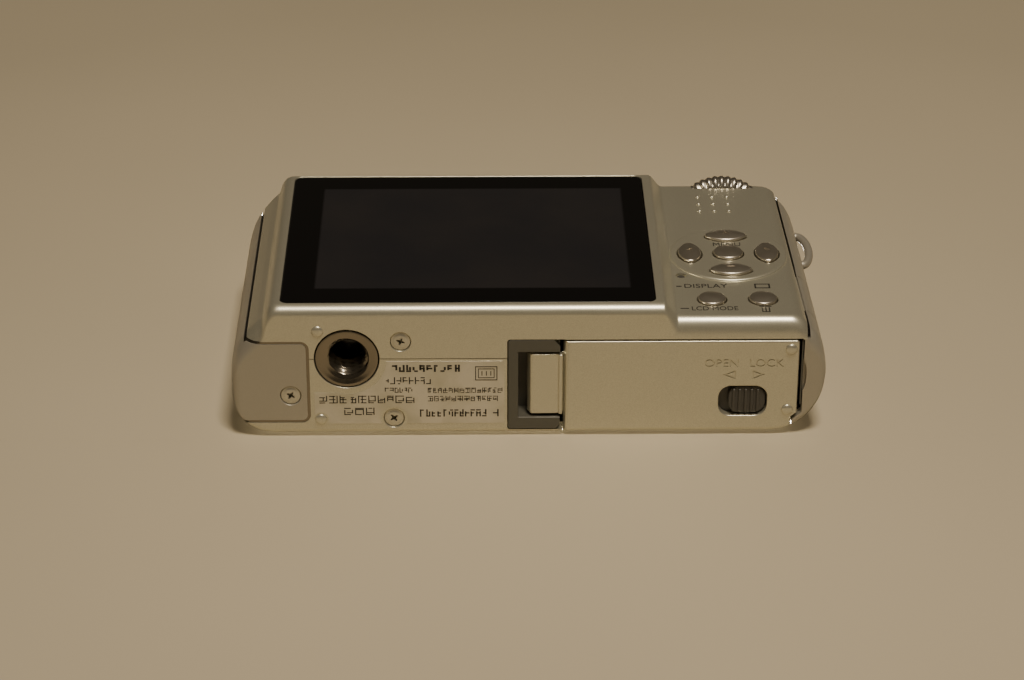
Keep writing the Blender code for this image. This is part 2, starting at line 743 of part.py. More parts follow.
def lens_inner_barrel():
    """A sleeve with a nose plate in front and, behind the barrier blades, a shelf for the glass."""
    nose, shelf, rear = -11.4, LENS_SHELF_Y, 2.6
    sleeve, seat = INNER_BARREL - 0.8, 8.2
    profile = [
        (INNER_BARREL, nose + 0.4),
        (INNER_BARREL, rear),
        (sleeve, rear),
        (sleeve, shelf + 0.9),
        (seat, shelf + 0.9),
        (seat, shelf),
        (sleeve, shelf),
        (sleeve, nose + 0.8),
        (BARRIER_OPENING, nose + 0.8),
        (BARRIER_OPENING + 0.6, nose),
        (INNER_BARREL - 0.4, nose),
    ]
    finish(turned("Y", LENS_X, LENS_Z, profile), "lens_inner_barrel", "steel", (LENS_X, nose, LENS_Z))


def front_lens_group():
    shelf = LENS_SHELF_Y
    steps = [(5.0, shelf - 0.05), (7.9, shelf + 0.4), (7.9, 0.5), (6.5, 2.0)]
    finish(stepped_rod("Y", LENS_X, LENS_Z, steps), "front_lens_group", "clear")


def barrier_blades():
    """Two half-round blades behind the nose of the inner barrel, each on a pivot at the side."""
    side, up = BLADE_PIVOT
    for name, sign in (("upper_barrier_blade", 1), ("lower_barrier_blade", -1)):
        half = [(x, 0.15 + y) for x, y in arc(0, 0, (BLADE_RADIUS, BLADE_RADIUS), 0, 180, 16)]
        outline = [(LENS_X + x, LENS_Z + sign * z) for x, z in half]
        blade = prism("Y", outline, *BLADE_Y)
        link = [(4.5, 0.15), (side, 0.6), (side, up + 1.1), (3.5, 4.6)]
        join(blade, prism("Y", [(LENS_X + x, LENS_Z + sign * z) for x, z in link], *BLADE_Y))
        join(blade, rod("Y", LENS_X + side, LENS_Z + sign * up, 1.15, BLADE_Y[0], BLADE_Y[1], 16))
        finish(blade, name, "dark_plastic", (LENS_X + side, BLADE_Y[0], LENS_Z + sign * up))


# Other pieces of the front


def flash_outline(margin_x, margin_z, corner):
    """The flash opening drawn smaller by a margin at each side."""
    range_x = (FLASH_X[0] + margin_x, FLASH_X[1] - margin_x)
    range_z = (FLASH_Z[0] + margin_z, FLASH_Z[1] - margin_z)
    return rounded_box(range_x, range_z, corner)


def flash():
    window = prism("Y", flash_outline(GAP, GAP, 0.9), FRONT_Y + 0.1, -9.0)
    finish(window, "flash_window", "clear")
    shell = loft("Y", [(-8.7, flash_outline(GAP, GAP, 0.5)), (-6.2, flash_outline(1.5, 1.6, 0.5))])
    hollow = loft("Y", [(-8.8, flash_outline(0.7, 0.6, 0.3)), (-6.8, flash_outline(2.0, 2.1, 0.3))])
    finish(cut(shell, hollow), "flash_reflector", "chrome")


def focus_lamp():
    steps = [(LAMP_RADIUS - 0.4, FRONT_Y), (LAMP_RADIUS, FRONT_Y + 0.3), (LAMP_RADIUS, -8.4)]
    lamp = stepped_rod("Y", LAMP_X, LAMP_Z, steps, 20)
    finish(lamp, "focus_lamp_lens", "amber")


# Grip end


def eyelet_ends():
    return (EYELET_Z[0] + EYELET_WIRE, EYELET_Z[1] - EYELET_WIRE)


def strap_eyelet():
    low, high = eyelet_ends()
    half, middle = (high - low) / 2, (high + low) / 2
    inner_x, shoulder_x = -42.9, -45.6
    depth = shoulder_x - (EYELET_OUT_X + EYELET_WIRE)
    bow = arc(shoulder_x, middle, (depth, half), 90, 270, 14)
    finish(bent_wire([(inner_x, high), *bow, (inner_x, low)], EYELET_WIRE), "strap_eyelet", "steel")


def socket_flap():
    flap = common(casing(), box((-60, -40), FLAP_Y, FLAP_Z))
    finish(flap, "socket_flap", "trim_paint", (FLAP_HINGE_X, FLAP_HINGE_Y, sum(FLAP_Z) / 2))
    socket = box((-43.0, -35.0), (2.7, 6.0), (9.4, 19.1))
    mouth = box((-44.0, -40.5), (3.4, 5.3), (10.4, 18.1))
    finish(cut(socket, mouth), "av_socket", "steel")


# Inside


def battery_bay():
    """A sleeve open at the base, the battery in it and the catch that keeps it in."""
    wall = 0.6
    room_x = (BATTERY_X[0] - GAP, BATTERY_X[1] + GAP)
    room_y = (BATTERY_Y[0] - GAP, BATTERY_Y[1] + GAP)
    room_top = BATTERY_Z[1] + GAP
    holder_x = (room_x[0] - wall, room_x[1] + wall)
    holder_y = (room_y[0] - wall, room_y[1] + wall)
    holder = box(holder_x, holder_y, (BATTERY_Z[0] - 0.05, room_top + wall))
    catch_room = box((CATCH_X[0] - GAP, CATCH_X[1] + GAP), (-10, BATTERY_Y[0]), (-5, BATTERY_Z[0]))
    cut(holder, box(room_x, room_y, (-5, room_top)), catch_room)
    finish(holder, "battery_holder", "dark_plastic")
    cell = prism("Z", rounded_box(BATTERY_X, BATTERY_Y, 1.2), *BATTERY_Z)
    finish(cell, "battery", "battery_grey")
    foot_z = DOOR_TOP_Z + 0.35
    catch = box(CATCH_X, (-8.25, -7.75), (foot_z, 8.0))
    join(catch, box(CATCH_X, (-8.25, -5.7), (foot_z, BATTERY_Z[0] - GAP)))
    finish(catch, "battery_catch", "amber", (sum(CATCH_X) / 2, -8.0, foot_z))


def memory_card():
    """A card with one cut corner, pushed up into its slot."""
    low_x, high_x = CARD_X
    low_z, high_z = CARD_Z
    corner = [(low_x + 3.0, high_z), (low_x, high_z - 3.0)]
    outline = [(low_x, low_z), (high_x, low_z), (high_x, high_z), *corner]
    finish(prism("Y", outline, *CARD_Y), "memory_card", "card_blue")
    slot_y = (CARD_Y[0] - 0.6, CARD_Y[1] + 0.6)
    room_y = (CARD_Y[0] - 0.25, CARD_Y[1] + 0.25)
    slot = box((low_x - 0.9, high_x + 0.6), slot_y, (10.0, high_z + 1.4))
    cut(slot, box((low_x - GAP, high_x + GAP), room_y, (-5, high_z + GAP)))
    finish(slot, "card_slot", "steel")


def boards():
    main_card = box((-17.5, 42.5), (6.2, 7.0), (4.0, 45.4))
    tripod_room = box((TRIPOD_X - 5.0, TRIPOD_X + 5.0), (0, 20), (-5, 8.8))
    finish(cut(main_card, tripod_room), "main_board", "board_green")
    plate = box((-17.0, 41.0), (7.45, 7.75), (8.8, 45.0))
    finish(plate, "chassis_plate", "steel")
    keys = box((-41.2, -22.4), (6.5, 7.3), (4.2, 33.5))
    finish(keys, "key_board", "board_green")
    switches = box((-36.0, 12.0), (-5.2, 4.6), SWITCH_BOARD_Z)
    finish(switches, "top_switch_board", "board_green")
    sensor = box((LENS_X - 9.0, LENS_X + 9.0), (5.45, 5.9), (LENS_Z - 8.0, LENS_Z + 8.0))
    finish(sensor, "image_sensor_board", "board_green")


def display_module():
    """The display and the film cable that folds under it to the main board."""
    module = box((-17.6, 37.2), (8.0, DISPLAY_Y - 1.5), (4.6, 47.6))
    finish(module, "display_module", "dark_plastic")
    outside = [(9.2, 4.3), (9.2, 2.4), (6.5, 2.4), (6.5, 3.7)]
    inside = [(6.75, 3.7), (6.75, 2.65), (8.95, 2.65), (8.95, 4.3)]
    finish(prism("X", outside + inside, 6.0, 16.0), "display_flex_cable", "copper_film")


def inner_components():
    finish(rod("X", -3.5, 4.8, 2.6, 6.0, 17.5, 20), "zoom_motor", "steel")
    finish(rod("Z", 40.6, -2.4, 3.4, 10.0, 40.0, 20), "flash_capacitor", "black_gloss")
    finish(rod("Z", 30.0, -2.0, 5.0, 46.9, INNER_TOP_Z - 0.4, 24), "speaker", "dark_plastic")
    finish(rod("Z", 19.5, -2.0, 2.0, 47.5, INNER_TOP_Z - 0.3, 16), "microphone", "steel")


def main():
    clear_scene()
    front_shell()
    rear_shell()
    side_trims()
    display_window()
    battery_door()
    hinge_block()
    door_latch()
    tripod_socket()
    base_screws()
    base_label()
    rear_buttons()
    mode_dial()
    zoom_lever()
    shutter_button()
    power_switch()
    stabiliser_button()
    lens_ring()
    lens_housing()
    lens_outer_barrel()
    lens_inner_barrel()
    front_lens_group()
    barrier_blades()
    flash()
    focus_lamp()
    strap_eyelet()
    socket_flap()
    battery_bay()
    memory_card()
    boards()
    display_module()
    inner_components()


main()
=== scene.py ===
"""Looks of the compact digital camera: fine surfaces, materials, light and the view.

Lengths are in millimetres in this file and become metres when a mesh is made. The camera stands on
its base with the lens towards -Y. The view looks at its rear and base, as it lies on its lens side.
"""

import json
import math
import random

import bmesh
import bpy
from mathutils import Matrix, Vector


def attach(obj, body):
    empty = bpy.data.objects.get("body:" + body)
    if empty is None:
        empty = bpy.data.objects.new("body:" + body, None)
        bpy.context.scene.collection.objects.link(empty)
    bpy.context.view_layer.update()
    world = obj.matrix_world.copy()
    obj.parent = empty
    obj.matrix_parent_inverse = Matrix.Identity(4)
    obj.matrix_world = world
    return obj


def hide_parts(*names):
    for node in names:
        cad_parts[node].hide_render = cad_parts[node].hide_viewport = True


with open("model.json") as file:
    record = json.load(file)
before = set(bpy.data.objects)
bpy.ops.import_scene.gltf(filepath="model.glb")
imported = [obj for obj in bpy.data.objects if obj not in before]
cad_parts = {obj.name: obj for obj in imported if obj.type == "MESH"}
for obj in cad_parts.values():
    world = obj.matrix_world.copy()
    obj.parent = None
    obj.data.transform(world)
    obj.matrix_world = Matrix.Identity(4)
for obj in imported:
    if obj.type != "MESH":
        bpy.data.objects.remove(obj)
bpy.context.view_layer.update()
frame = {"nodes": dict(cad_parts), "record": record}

MM = 0.001
GAP = 0.3
TABLE_HALF = 1600.0
TABLE_Y = -11.0  # the cloth gives way under the lens ring, which stands a little through the sheet

# ---------------------------------------------------------------- dimensions, as in the CAD part

BASE_Z, TOP_Z = 0.6, 51.1
FRONT_Y, PANEL_Y, DISPLAY_Y = -10.5, 9.65, 12.1
WALL = 1.2
SEAM_Y = 3.0
GRIP_X, PLAIN_X = -46.3, 47.7
WINDOW_X, WINDOW_Z = (-19.1, 39.65), (2.4, 49.6)
PAD_X, PAD_Z, PAD_RADIUS, PAD_TOP_Y = -32.15, 23.7, 9.6, 10.0
DOOR_X, DOOR_REAR_Y, DOOR_TOP_Z = (-41.9, -4.7), 5.95, 1.9
PIN_X, PIN_Z, KNUCKLE_RADIUS = -0.1, 2.2, 1.4
ARM_Y = (-7.1, 3.6)
BLOCK_X, BLOCK_Y, BLOCK_TOP_Z = (-4.2, 4.0), (-9.7, 6.2), 5.2
LATCH_SLOT_X, LATCH_SLOT_Y = (-37.05, -29.35), (-7.45, -2.15)
LATCH_PAD_X = (-36.85, -30.95)
TRIPOD_X, TRIPOD_Y, TRIPOD_RING, TRIPOD_TOP_Z = 29.4, 3.0, 5.0, 7.2
SCREWS = {"base_screw_rear": (20.9, 6.0), "base_screw_front": (22.1, -7.65), "tab_screw": (38.4, -3.55)}
SCREW_TURNS = {"base_screw_rear": 18, "base_screw_front": 52, "tab_screw": 30}
SCREW_HEAD = 1.6
DIAL_X, DIAL_Y, DIAL_RADIUS, DIAL_Z = -33.1, 2.8, 8.3, (49.95, 52.4)
SHUTTER_X, SHUTTER_Y, SHUTTER_RADIUS, SHUTTER_TOP_Z = -15.2, -0.4, 4.2, 53.7
LEVER_RADIUS, LEVER_Z = 7.2, (51.4, 53.0)
SWITCH_X, SWITCH_Y, SWITCH_TRAVEL = -1.4, -0.4, 3.0
STABILISER_X, STABILISER_Y, STABILISER_RADIUS = 8.6, -0.4, 2.1
LENS_X, LENS_Z, LENS_RING, OUTER_BARREL, INNER_BARREL = 17.2, 25.6, 19.0, 15.9, 13.4
FLASH_X, FLASH_Z = (-4.6, 5.2), (42.2, 47.5)
LAMP_X, LAMP_Z, LAMP_RADIUS = -10.3, 45.0, 1.8
FLAP_Y, FLAP_Z = (2.6, 7.3), (8.3, 20.2)
EYELET_Y, EYELET_Z, EYELET_WIRE = 3.4, (31.9, 44.1), 0.7
STATUS_X, STATUS_Z = -24.0, 16.3
LIT_X, LIT_Z = (-15.4, 34.5), (7.4, 44.8)  # the lit area behind the display window
DIAL_TEETH = 44
DOOR_WORDS = [("OPEN", (-26.97, -32.3)), ("LOCK", (-34.09, -39.52))]
SMALL_BUTTONS = {"display_button": -28.4, "delete_button": -36.5}

# ---------------------------------------------------------------- outlines


def grown(span, by):
    return span[0] - by, span[1] + by


def around(middle, half):
    return middle - half, middle + half


def quarter_turns(steps, first=0):
    """(sine, cosine) at even steps of a quarter turn."""
    turns = [math.pi / 2 * i / steps for i in range(first, steps + 1)]
    return [(math.sin(turn), math.cos(turn)) for turn in turns]


def along_from(start, *pairs):
    """Profile points whose places along the axis count from a start."""
    return [(radius, start + step) for radius, step in pairs]


def arc(a, b, radii, start, end, steps):
    across, up = radii
    turns = [math.radians(start + (end - start) * i / steps) for i in range(steps + 1)]
    return [(a + across * math.cos(t), b + up * math.sin(t)) for t in turns]


def circle(a, b, radius, sides=64):
    return arc(a, b, (radius, radius), 0, 360, sides)[:-1]


def rounded_box(a, b, radius, steps=8):
    radii = (radius, radius)
    return (
        arc(a[1] - radius, b[0] + radius, radii, -90, 0, steps)
        + arc(a[1] - radius, b[1] - radius, radii, 0, 90, steps)
        + arc(a[0] + radius, b[1] - radius, radii, 90, 180, steps)
        + arc(a[0] + radius, b[0] + radius, radii, 180, 270, steps)
    )


def almond(a, b, length, width, upright, tip=0.35, steps=20):
    """Two equal arcs that meet in a small round tip at each end."""
    half, rise = length / 2, width / 2
    radius = (half * half + rise * rise) / (2 * rise)
    reach = math.degrees(math.asin(half / radius))
    upper = arc(0, rise - radius, (radius, radius), 90 - reach, 90 + reach, steps)
    lower = [(-x, -y) for x, y in upper]
    outline = []
    for x, y in upper[:-1] + lower[:-1]:
        limit = half - tip * math.exp(-abs(y) / (tip * 1.2))
        outline.append((max(-limit, min(limit, x)), y))
    return [(a - y, b + x) if upright else (a + x, b + y) for x, y in outline]


def offset(outline, distance):
    """The outline moved inwards by the distance (outwards if negative); it runs anticlockwise."""
    moved = []
    count = len(outline)
    for i, here in enumerate(outline):
        before, after = Vector(outline[i - 1]), Vector(outline[(i + 1) % count])
        point = Vector(here)
        into, out = (point - before), (after - point)
        into = into.normalized() if into.length > 1e-6 else out.normalized()
        out = out.normalized() if out.length > 1e-6 else into
        normal = Vector((-(into.y + out.y), into.x + out.x)).normalized()
        lean = max(0.45, normal.dot(Vector((-out.y, out.x))))
        moved.append(tuple(point + normal * (distance / lean)))
    return moved


# ---------------------------------------------------------------- solids


def new_object(name, build):
    bmesh.ops.remove_doubles(build, verts=build.verts, dist=0.0005)
    bmesh.ops.dissolve_degenerate(build, edges=build.edges, dist=0.0005)
    bmesh.ops.recalc_face_normals(build, faces=build.faces)
    bmesh.ops.scale(build, vec=(MM, MM, MM), verts=build.verts)
    mesh = bpy.data.meshes.new(name)
    build.to_mesh(mesh)
    build.free()
    item = bpy.data.objects.new(name, mesh)
    bpy.context.scene.collection.objects.link(item)
    return item


def spot(axis, a, b, along):
    return {"X": (along, a, b), "Y": (a, along, b), "Z": (a, b, along)}[axis]


def skin(rings, round_trip=False):
    """Closed surface over rings of equal length, each a list of three-number points."""
    build = bmesh.new()
    loops = [[build.verts.new(point) for point in ring] for ring in rings]
    for low, high in list(zip(loops, loops[1:])) + ([(loops[-1], loops[0])] if round_trip else []):
        for i in range(len(low)):
            j = (i + 1) % len(low)
            build.faces.new((low[i], low[j], high[j], high[i]))
    if not round_trip:
        build.faces.new(loops[0])
        build.faces.new(loops[-1])
    return new_object("solid", build)


def loft(axis, sections):
    return skin([[spot(axis, a, b, along) for a, b in outline] for along, outline in sections])


def prism(axis, outline, low, high):
    return loft(axis, [(low, outline), (high, outline)])


def box(x, y, z):
    return prism("Z", [(x[0], y[0]), (x[1], y[0]), (x[1], y[1]), (x[0], y[1])], z[0], z[1])


def rod(axis, a, b, radius, low, high, sides=64):
    return prism(axis, circle(a, b, radius, sides), low, high)


def turned(axis, a, b, profile, sides=96, closed=True):
    """Surface turned about the axis through (a, b); a radius may be a function of the turn."""
    rings = []
    for radius, along in profile:
        ring = []
        for k in range(sides):
            turn = 2 * math.pi * k / sides
            here = radius(turn) if callable(radius) else radius
            ring.append(spot(axis, a + here * math.cos(turn), b + here * math.sin(turn), along))
        rings.append(ring)
    return skin(rings, closed)


def stepped_rod(axis, a, b, profile, sides=64):
    return turned(axis, a, b, profile, sides, closed=False)


def soft_plate(axis, outline, low, high, radius, both=True):
    """Prism with the edges of its high end rounded, and of its low end if both; high may lie below low."""
    way = 1 if high > low else -1
    steps = []
    for sine, cosine in quarter_turns(5):
        steps.append((way * radius * (1 - sine), offset(outline, radius * (1 - cosine))))
    top = [(high - down, inner) for down, inner in steps]
    bottom = [(low + up, inner) for up, inner in reversed(steps)] if both else [(low, outline)]
    return loft(axis, bottom + top)


def flared(axis, outline, inside, surface, rim, outside):
    """Cutter for an opening whose rim is rounded where it meets the surface."""
    way = 1 if outside > inside else -1
    sections = [(inside, outline)]
    for sine, cosine in quarter_turns(4):
        sections.append((surface - way * rim * (1 - sine), offset(outline, -rim * (1 - cosine))))
    sections.append((outside, offset(outline, -rim)))
    return loft(axis, sections)


def boolean(target, tool, operation):
    modifier = target.modifiers.new("Boolean", "BOOLEAN")
    modifier.operation = operation
    modifier.object = tool
    graph = bpy.context.evaluated_depsgraph_get()
    mesh = bpy.data.meshes.new_from_object(target.evaluated_get(graph))
    target.modifiers.clear()
    target.data = mesh
    bpy.data.objects.remove(tool, do_unlink=True)
    return target


def cut(target, *tools):
    for tool in tools:
        boolean(target, tool, "DIFFERENCE")
    return target


def join(target, *tools):
    for tool in tools:
        boolean(target, tool, "UNION")
    return target


def common(target, tool):
    return boolean(target, tool, "INTERSECT")


def merge(name, items):
    """One object that holds the meshes of several, which needn't touch."""
    build = bmesh.new()
    for item in items:
        build.from_mesh(item.data)
        bpy.data.objects.remove(item, do_unlink=True)
    mesh = bpy.data.meshes.new(name)
    build.to_mesh(mesh)
    build.free()
    item = bpy.data.objects.new(name, mesh)
    bpy.context.scene.collection.objects.link(item)
    return item


def wire(points, radius, sides=20):
    """Round wire along points in a plane of constant y."""
    rings = []
    for i, point in enumerate(points):
        here = Vector(point)
        before, after = Vector(points[max(i - 1, 0)]), Vector(points[min(i + 1, len(points) - 1)])
        along = (after - before).normalized()
        across = along.cross(Vector((0, 1, 0))).normalized()
        ring = []
        for k in range(sides):
            turn = 2 * math.pi * k / sides
            ring.append(here + (across * math.cos(turn) + Vector((0, 1, 0)) * math.sin(turn)) * radius)
        rings.append(ring)
    return skin(rings)


# ---------------------------------------------------------------- materials


class Paint:
    """A material and the few nodes that this scene uses."""

    def __init__(self, name, colour, metallic=0.0, roughness=0.5):
        self.material = bpy.data.materials.new(name)
        self.material.use_nodes = True
        self.tree = self.material.node_tree
        self.shader = self.tree.nodes["Principled BSDF"]
        self.set("Base Color", (*colour, 1.0))
        self.set("Metallic", metallic)
        self.set("Roughness", roughness)
        self.place = self.tree.nodes.new("ShaderNodeTexCoord").outputs["Object"]

    def set(self, socket, value):
        self.shader.inputs[socket].default_value = value
        return self

    def noise(self, scale, detail=2.0, stretch=None):
        node = self.tree.nodes.new("ShaderNodeTexNoise")
        node.inputs["Scale"].default_value = scale
        node.inputs["Detail"].default_value = detail
        place = self.place
        if stretch:
            mapping = self.tree.nodes.new("ShaderNodeMapping")
            mapping.inputs["Scale"].default_value = stretch
            self.tree.links.new(place, mapping.inputs["Vector"])
            place = mapping.outputs["Vector"]
        self.tree.links.new(place, node.inputs["Vector"])
        return node.outputs["Fac"]

    def ramp(self, factor, low, high, from_low, from_high):
        """A number or a colour that runs from low to high as the factor does between two values."""
        node = self.tree.nodes.new("ShaderNodeValToRGB")
        node.color_ramp.elements[0].position = from_low
        node.color_ramp.elements[1].position = from_high
        grey = not hasattr(low, "__len__")
        node.color_ramp.elements[0].color = (low, low, low, 1) if grey else (*low, 1)
        node.color_ramp.elements[1].color = (high, high, high, 1) if grey else (*high, 1)
        self.tree.links.new(factor, node.inputs["Fac"])
        return node.outputs["Color"]

    def link(self, output, socket):
        self.tree.links.new(output, self.shader.inputs[socket])
        return self

    def bump(self, factor, strength, distance=0.0001):
        node = self.tree.nodes.new("ShaderNodeBump")
        node.inputs["Strength"].default_value = strength
        node.inputs["Distance"].default_value = distance
        self.tree.links.new(factor, node.inputs["Height"])
        self.tree.links.new(node.outputs["Normal"], self.shader.inputs["Normal"])
        return self


def metallic_paint(name, colour, metallic, roughness, flake=0.10):
    paint = Paint(name, colour, metallic, roughness)
    fine = paint.noise(9000.0, 1.0)
    dark = tuple(c * (1 - flake) for c in colour)
    light = tuple(min(1.0, c * (1 + flake)) for c in colour)
    paint.link(paint.ramp(fine, dark, light, 0.3, 0.7), "Base Color")
    worn = paint.noise(140.0, 4.0)
    paint.link(paint.ramp(worn, roughness - 0.015, roughness + 0.02, 0.3, 0.7), "Roughness")
    paint.bump(fine, 0.10, 0.00002)
    return paint.material


def turned_metal(name, colour, roughness, stretch=(400, 400, 9000)):
    paint = Paint(name, colour, 1.0, roughness)
    lines = paint.noise(1.0, 2.0, stretch)
    paint.link(paint.ramp(lines, roughness - 0.05, roughness + 0.06, 0.3, 0.7), "Roughness")
    paint.bump(lines, 0.05, 0.00002)
    return paint.material


def plastic(name, colour, roughness, grain=0.12):
    paint = Paint(name, colour, 0.0, roughness)
    fine = paint.noise(5000.0, 2.0)
    paint.bump(fine, grain, 0.00003)
    smudges = paint.noise(300.0, 3.0)
    paint.link(paint.ramp(smudges, max(0.02, roughness - 0.05), roughness + 0.06, 0.3, 0.7), "Roughness")
    return paint.material


def polished(name, colour, roughness=0.1):
    paint = Paint(name, colour, 1.0, roughness)
    smudges = paint.noise(500.0, 3.0)
    paint.link(paint.ramp(smudges, roughness - 0.015, roughness + 0.03, 0.35, 0.7), "Roughness")
    return paint.material


def display_material():
    """Black glass; the lit area behind it is a little lighter, with a soft edge."""
    black = (0.001, 0.001, 0.0015)
    paint = Paint("display_glass_black", black, 0.0, 0.10)
    paint.set("IOR", 1.35)
    split = paint.tree.nodes.new("ShaderNodeSeparateXYZ")
    paint.tree.links.new(paint.place, split.inputs["Vector"])
    masks = []
    for axis, (low, high) in (("X", LIT_X), ("Z", LIT_Z)):
        for at, way in ((low, 1), (high, -1)):
            node = paint.tree.nodes.new("ShaderNodeMapRange")
            node.inputs["From Min"].default_value = (at - way * 0.2) * MM
            node.inputs["From Max"].default_value = (at + way * 0.2) * MM
            paint.tree.links.new(split.outputs[axis], node.inputs["Value"])
            masks.append(node.outputs["Result"])
    total = masks[0]
    for mask in masks[1:]:
        node = paint.tree.nodes.new("ShaderNodeMath")
        node.operation = "MULTIPLY"
        paint.tree.links.new(total, node.inputs[0])
        paint.tree.links.new(mask, node.inputs[1])
        total = node.outputs["Value"]
    patchy = paint.noise(60.0, 3.0)
    grey = paint.ramp(patchy, (0.0135, 0.0135, 0.017), (0.0185, 0.017, 0.019), 0.35, 0.65)
    mix = paint.tree.nodes.new("ShaderNodeMix")
    mix.data_type = "RGBA"
    mix.inputs["A"].default_value = (*black, 1)
    paint.tree.links.new(total, mix.inputs["Factor"])
    paint.tree.links.new(grey, mix.inputs["B"])
    paint.link(mix.outputs["Result"], "Base Color")
    return paint.material


def glass(name, colour, roughness=0.03):
    paint = Paint(name, colour, 0.0, roughness)
    paint.set("Transmission Weight", 0.85)
    paint.set("IOR", 1.5)
    ripple = paint.noise(900.0, 1.0)
    paint.bump(ripple, 0.02, 0.00002)
    return paint.material


def board_material():
    """Green solder mask with copper-coloured tracks under it."""
    paint = Paint("board_mask_green", (0.02, 0.12, 0.05), 0.0, 0.4)
    tracks = paint.noise(700.0, 0.0, (1.0, 1.0, 0.25))
    paint.link(paint.ramp(tracks, (0.015, 0.10, 0.04), (0.05, 0.20, 0.08), 0.48, 0.52), "Base Color")
    return paint.material


def label_material():
    """Thin film with a slight yellow wear in random patches."""
    paint = Paint("label_film_pale", (0.60, 0.56, 0.47), 0.35, 0.34)
    worn = paint.noise(160.0, 5.0)
    paint.link(paint.ramp(worn, (0.50, 0.47, 0.36), (0.64, 0.60, 0.50), 0.32, 0.6), "Base Color")
    return paint.material


MATERIALS = {
    "silver_paint": metallic_paint("casing_silver", (0.59, 0.57, 0.465), 0.75, 0.34),
    "trim_paint": metallic_paint("trim_silver", (0.42, 0.395, 0.335), 0.55, 0.42, 0.04),
    "dark_plastic": plastic("frame_grey_plastic", (0.06, 0.058, 0.052), 0.42),
    "black_gloss": plastic("black_gloss", (0.008, 0.008, 0.009), 0.12, 0.02),
    "chrome": polished("button_chrome", (0.74, 0.69, 0.61), 0.33),
    "steel": turned_metal("satin_steel", (0.56, 0.53, 0.48), 0.30),
    "clear": glass("clear_glass", (0.92, 0.94, 0.95)),
    "label_film": label_material(),
    "board_green": board_material(),
    "amber": plastic("amber_clear", (0.70, 0.24, 0.04), 0.12, 0.02),
    "battery_grey": plastic("battery_grey", (0.10, 0.10, 0.11), 0.45),
    "card_blue": plastic("card_blue", (0.03, 0.06, 0.18), 0.40),
    "copper_film": plastic("copper_film", (0.45, 0.22, 0.06), 0.35, 0.04),
}
DISPLAY = display_material()
SATIN = turned_metal("fine_satin_steel", (0.56, 0.53, 0.48), 0.33, (6000, 6000, 6000))
LATCH = plastic("latch_grey_plastic", (0.065, 0.062, 0.056), 0.36)
HINGE = plastic("hinge_grey_plastic", (0.095, 0.092, 0.076), 0.42)
INK = plastic("printed_ink", (0.022, 0.02, 0.018), 0.5, 0.02)
SCREW = metallic_paint("screw_silver", (0.56, 0.54, 0.46), 0.8, 0.33, 0.05)
RING = polished("lens_ring_polished", (0.62, 0.59, 0.54), 0.2)
BRASS = polished("contact_gilt", (0.62, 0.50, 0.26), 0.25)
LOOP = metallic_paint("loop_satin", (0.42, 0.395, 0.345), 0.6, 0.5, 0.05)
SOCKET = polished("socket_metal", (0.25, 0.225, 0.185), 0.22)


def finish(item, name, body, slot, replaces=(), material=None, sharp=32, weighted=True):
    """Names, shades and paints a piece, hangs it under its CAD body and hides the CAD nodes it stands in for.
    """
    item.name = name
    item.data.name = name
    item.data.materials.clear()
    item.data.materials.append(material or MATERIALS[slot])
    item.data.shade_smooth()
    item.data.set_sharp_from_angle(angle=math.radians(sharp))
    if weighted:
        modifier = item.modifiers.new("Weighted", "WEIGHTED_NORMAL")
        modifier.keep_sharp = True
        modifier.weight = 60
    if replaces:
        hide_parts(*replaces)
    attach(item, body)
    return item


def printed(name, items, body="camera"):
    """Marks in dark ink, as one piece."""
    finish(merge(name, items), name, body, "dark_plastic", material=INK, weighted=False)


# ---------------------------------------------------------------- casing


def between(x, points):
    """Straight-line interpolation in a list of (x, value), with x rising."""
    if x <= points[0][0]:
        return points[0][1]
    for (x0, v0), (x1, v1) in zip(points, points[1:]):
        if x <= x1:
            return v0 + (v1 - v0) * (x - x0) / (x1 - x0)
    return points[-1][1]


def quarter(x, start, end, radii_power=2.0):
    """1 at start falling to 0 at end along a quarter of an ellipse."""
    t = min(1.0, max(0.0, (x - start) / (end - start)))
    return (1 - t**radii_power) ** (1 / radii_power)


PLAIN_SLOPE = [
    (39.9, 12.1), (40.3, 12.07), (40.7, 11.96), (41.1, 11.75), (41.45, 11.45), (41.75, 11.05), (42.0, 10.55),
    (42.2, 10.0), (42.35, 9.45), (42.5, 9.1), (42.7, 8.88), (43.0, 8.62), (43.6, 8.1), (44.6, 7.1),
    (45.4, 6.25), (46.1, 5.35), (46.7, 4.4), (47.1, 3.45), (47.45, 2.3), (47.65, 1.4), (PLAIN_X, 0.6),
]
GRIP_EDGE_X = -43.3  # where the rolled end of the rear casing meets the grip-end trim, before the lean


def front_y(x):
    if x > 41.2:
        return -4.0 - 6.5 * quarter(x, 41.2, PLAIN_X)
    return -0.1 - 10.4 * quarter(-x, 37.3, -GRIP_X)


def rear_y(x):
    if x > 39.9:
        return between(x, PLAIN_SLOPE)
    height = DISPLAY_Y - (DISPLAY_Y - PANEL_Y) * step_share(x)
    if x < GRIP_EDGE_X:
        return -0.1 + 8.0 * quarter(-x, 42.0, -GRIP_X, 2.2)
    if x < -40.4:
        height -= 3.1 * (1 - quarter(-x, 40.4, 43.6))
    return height


def step_share(x):
    """0 on the display side of the step, 1 on the panel, eased at both ends."""
    step = min(1.0, max(0.0, (-20.35 - x) / 2.4))
    return step * step * (3 - 2 * step)


def z_range(x):
    top = TOP_Z
    low = BASE_Z
    if x > 41.7:
        top = TOP_Z - 6.0 * (1 - quarter(x, 41.7, PLAIN_X))
    if x < -38.3:
        top = TOP_Z - 8.0 * (1 - quarter(-x, 38.3, -GRIP_X))
    if x > 46.3:
        low = BASE_Z + 1.4 * (1 - quarter(x, 46.3, PLAIN_X))
    if x < -45.0:
        low = BASE_Z + 1.3 * (1 - quarter(-x, 45.0, -GRIP_X))
    return low, top


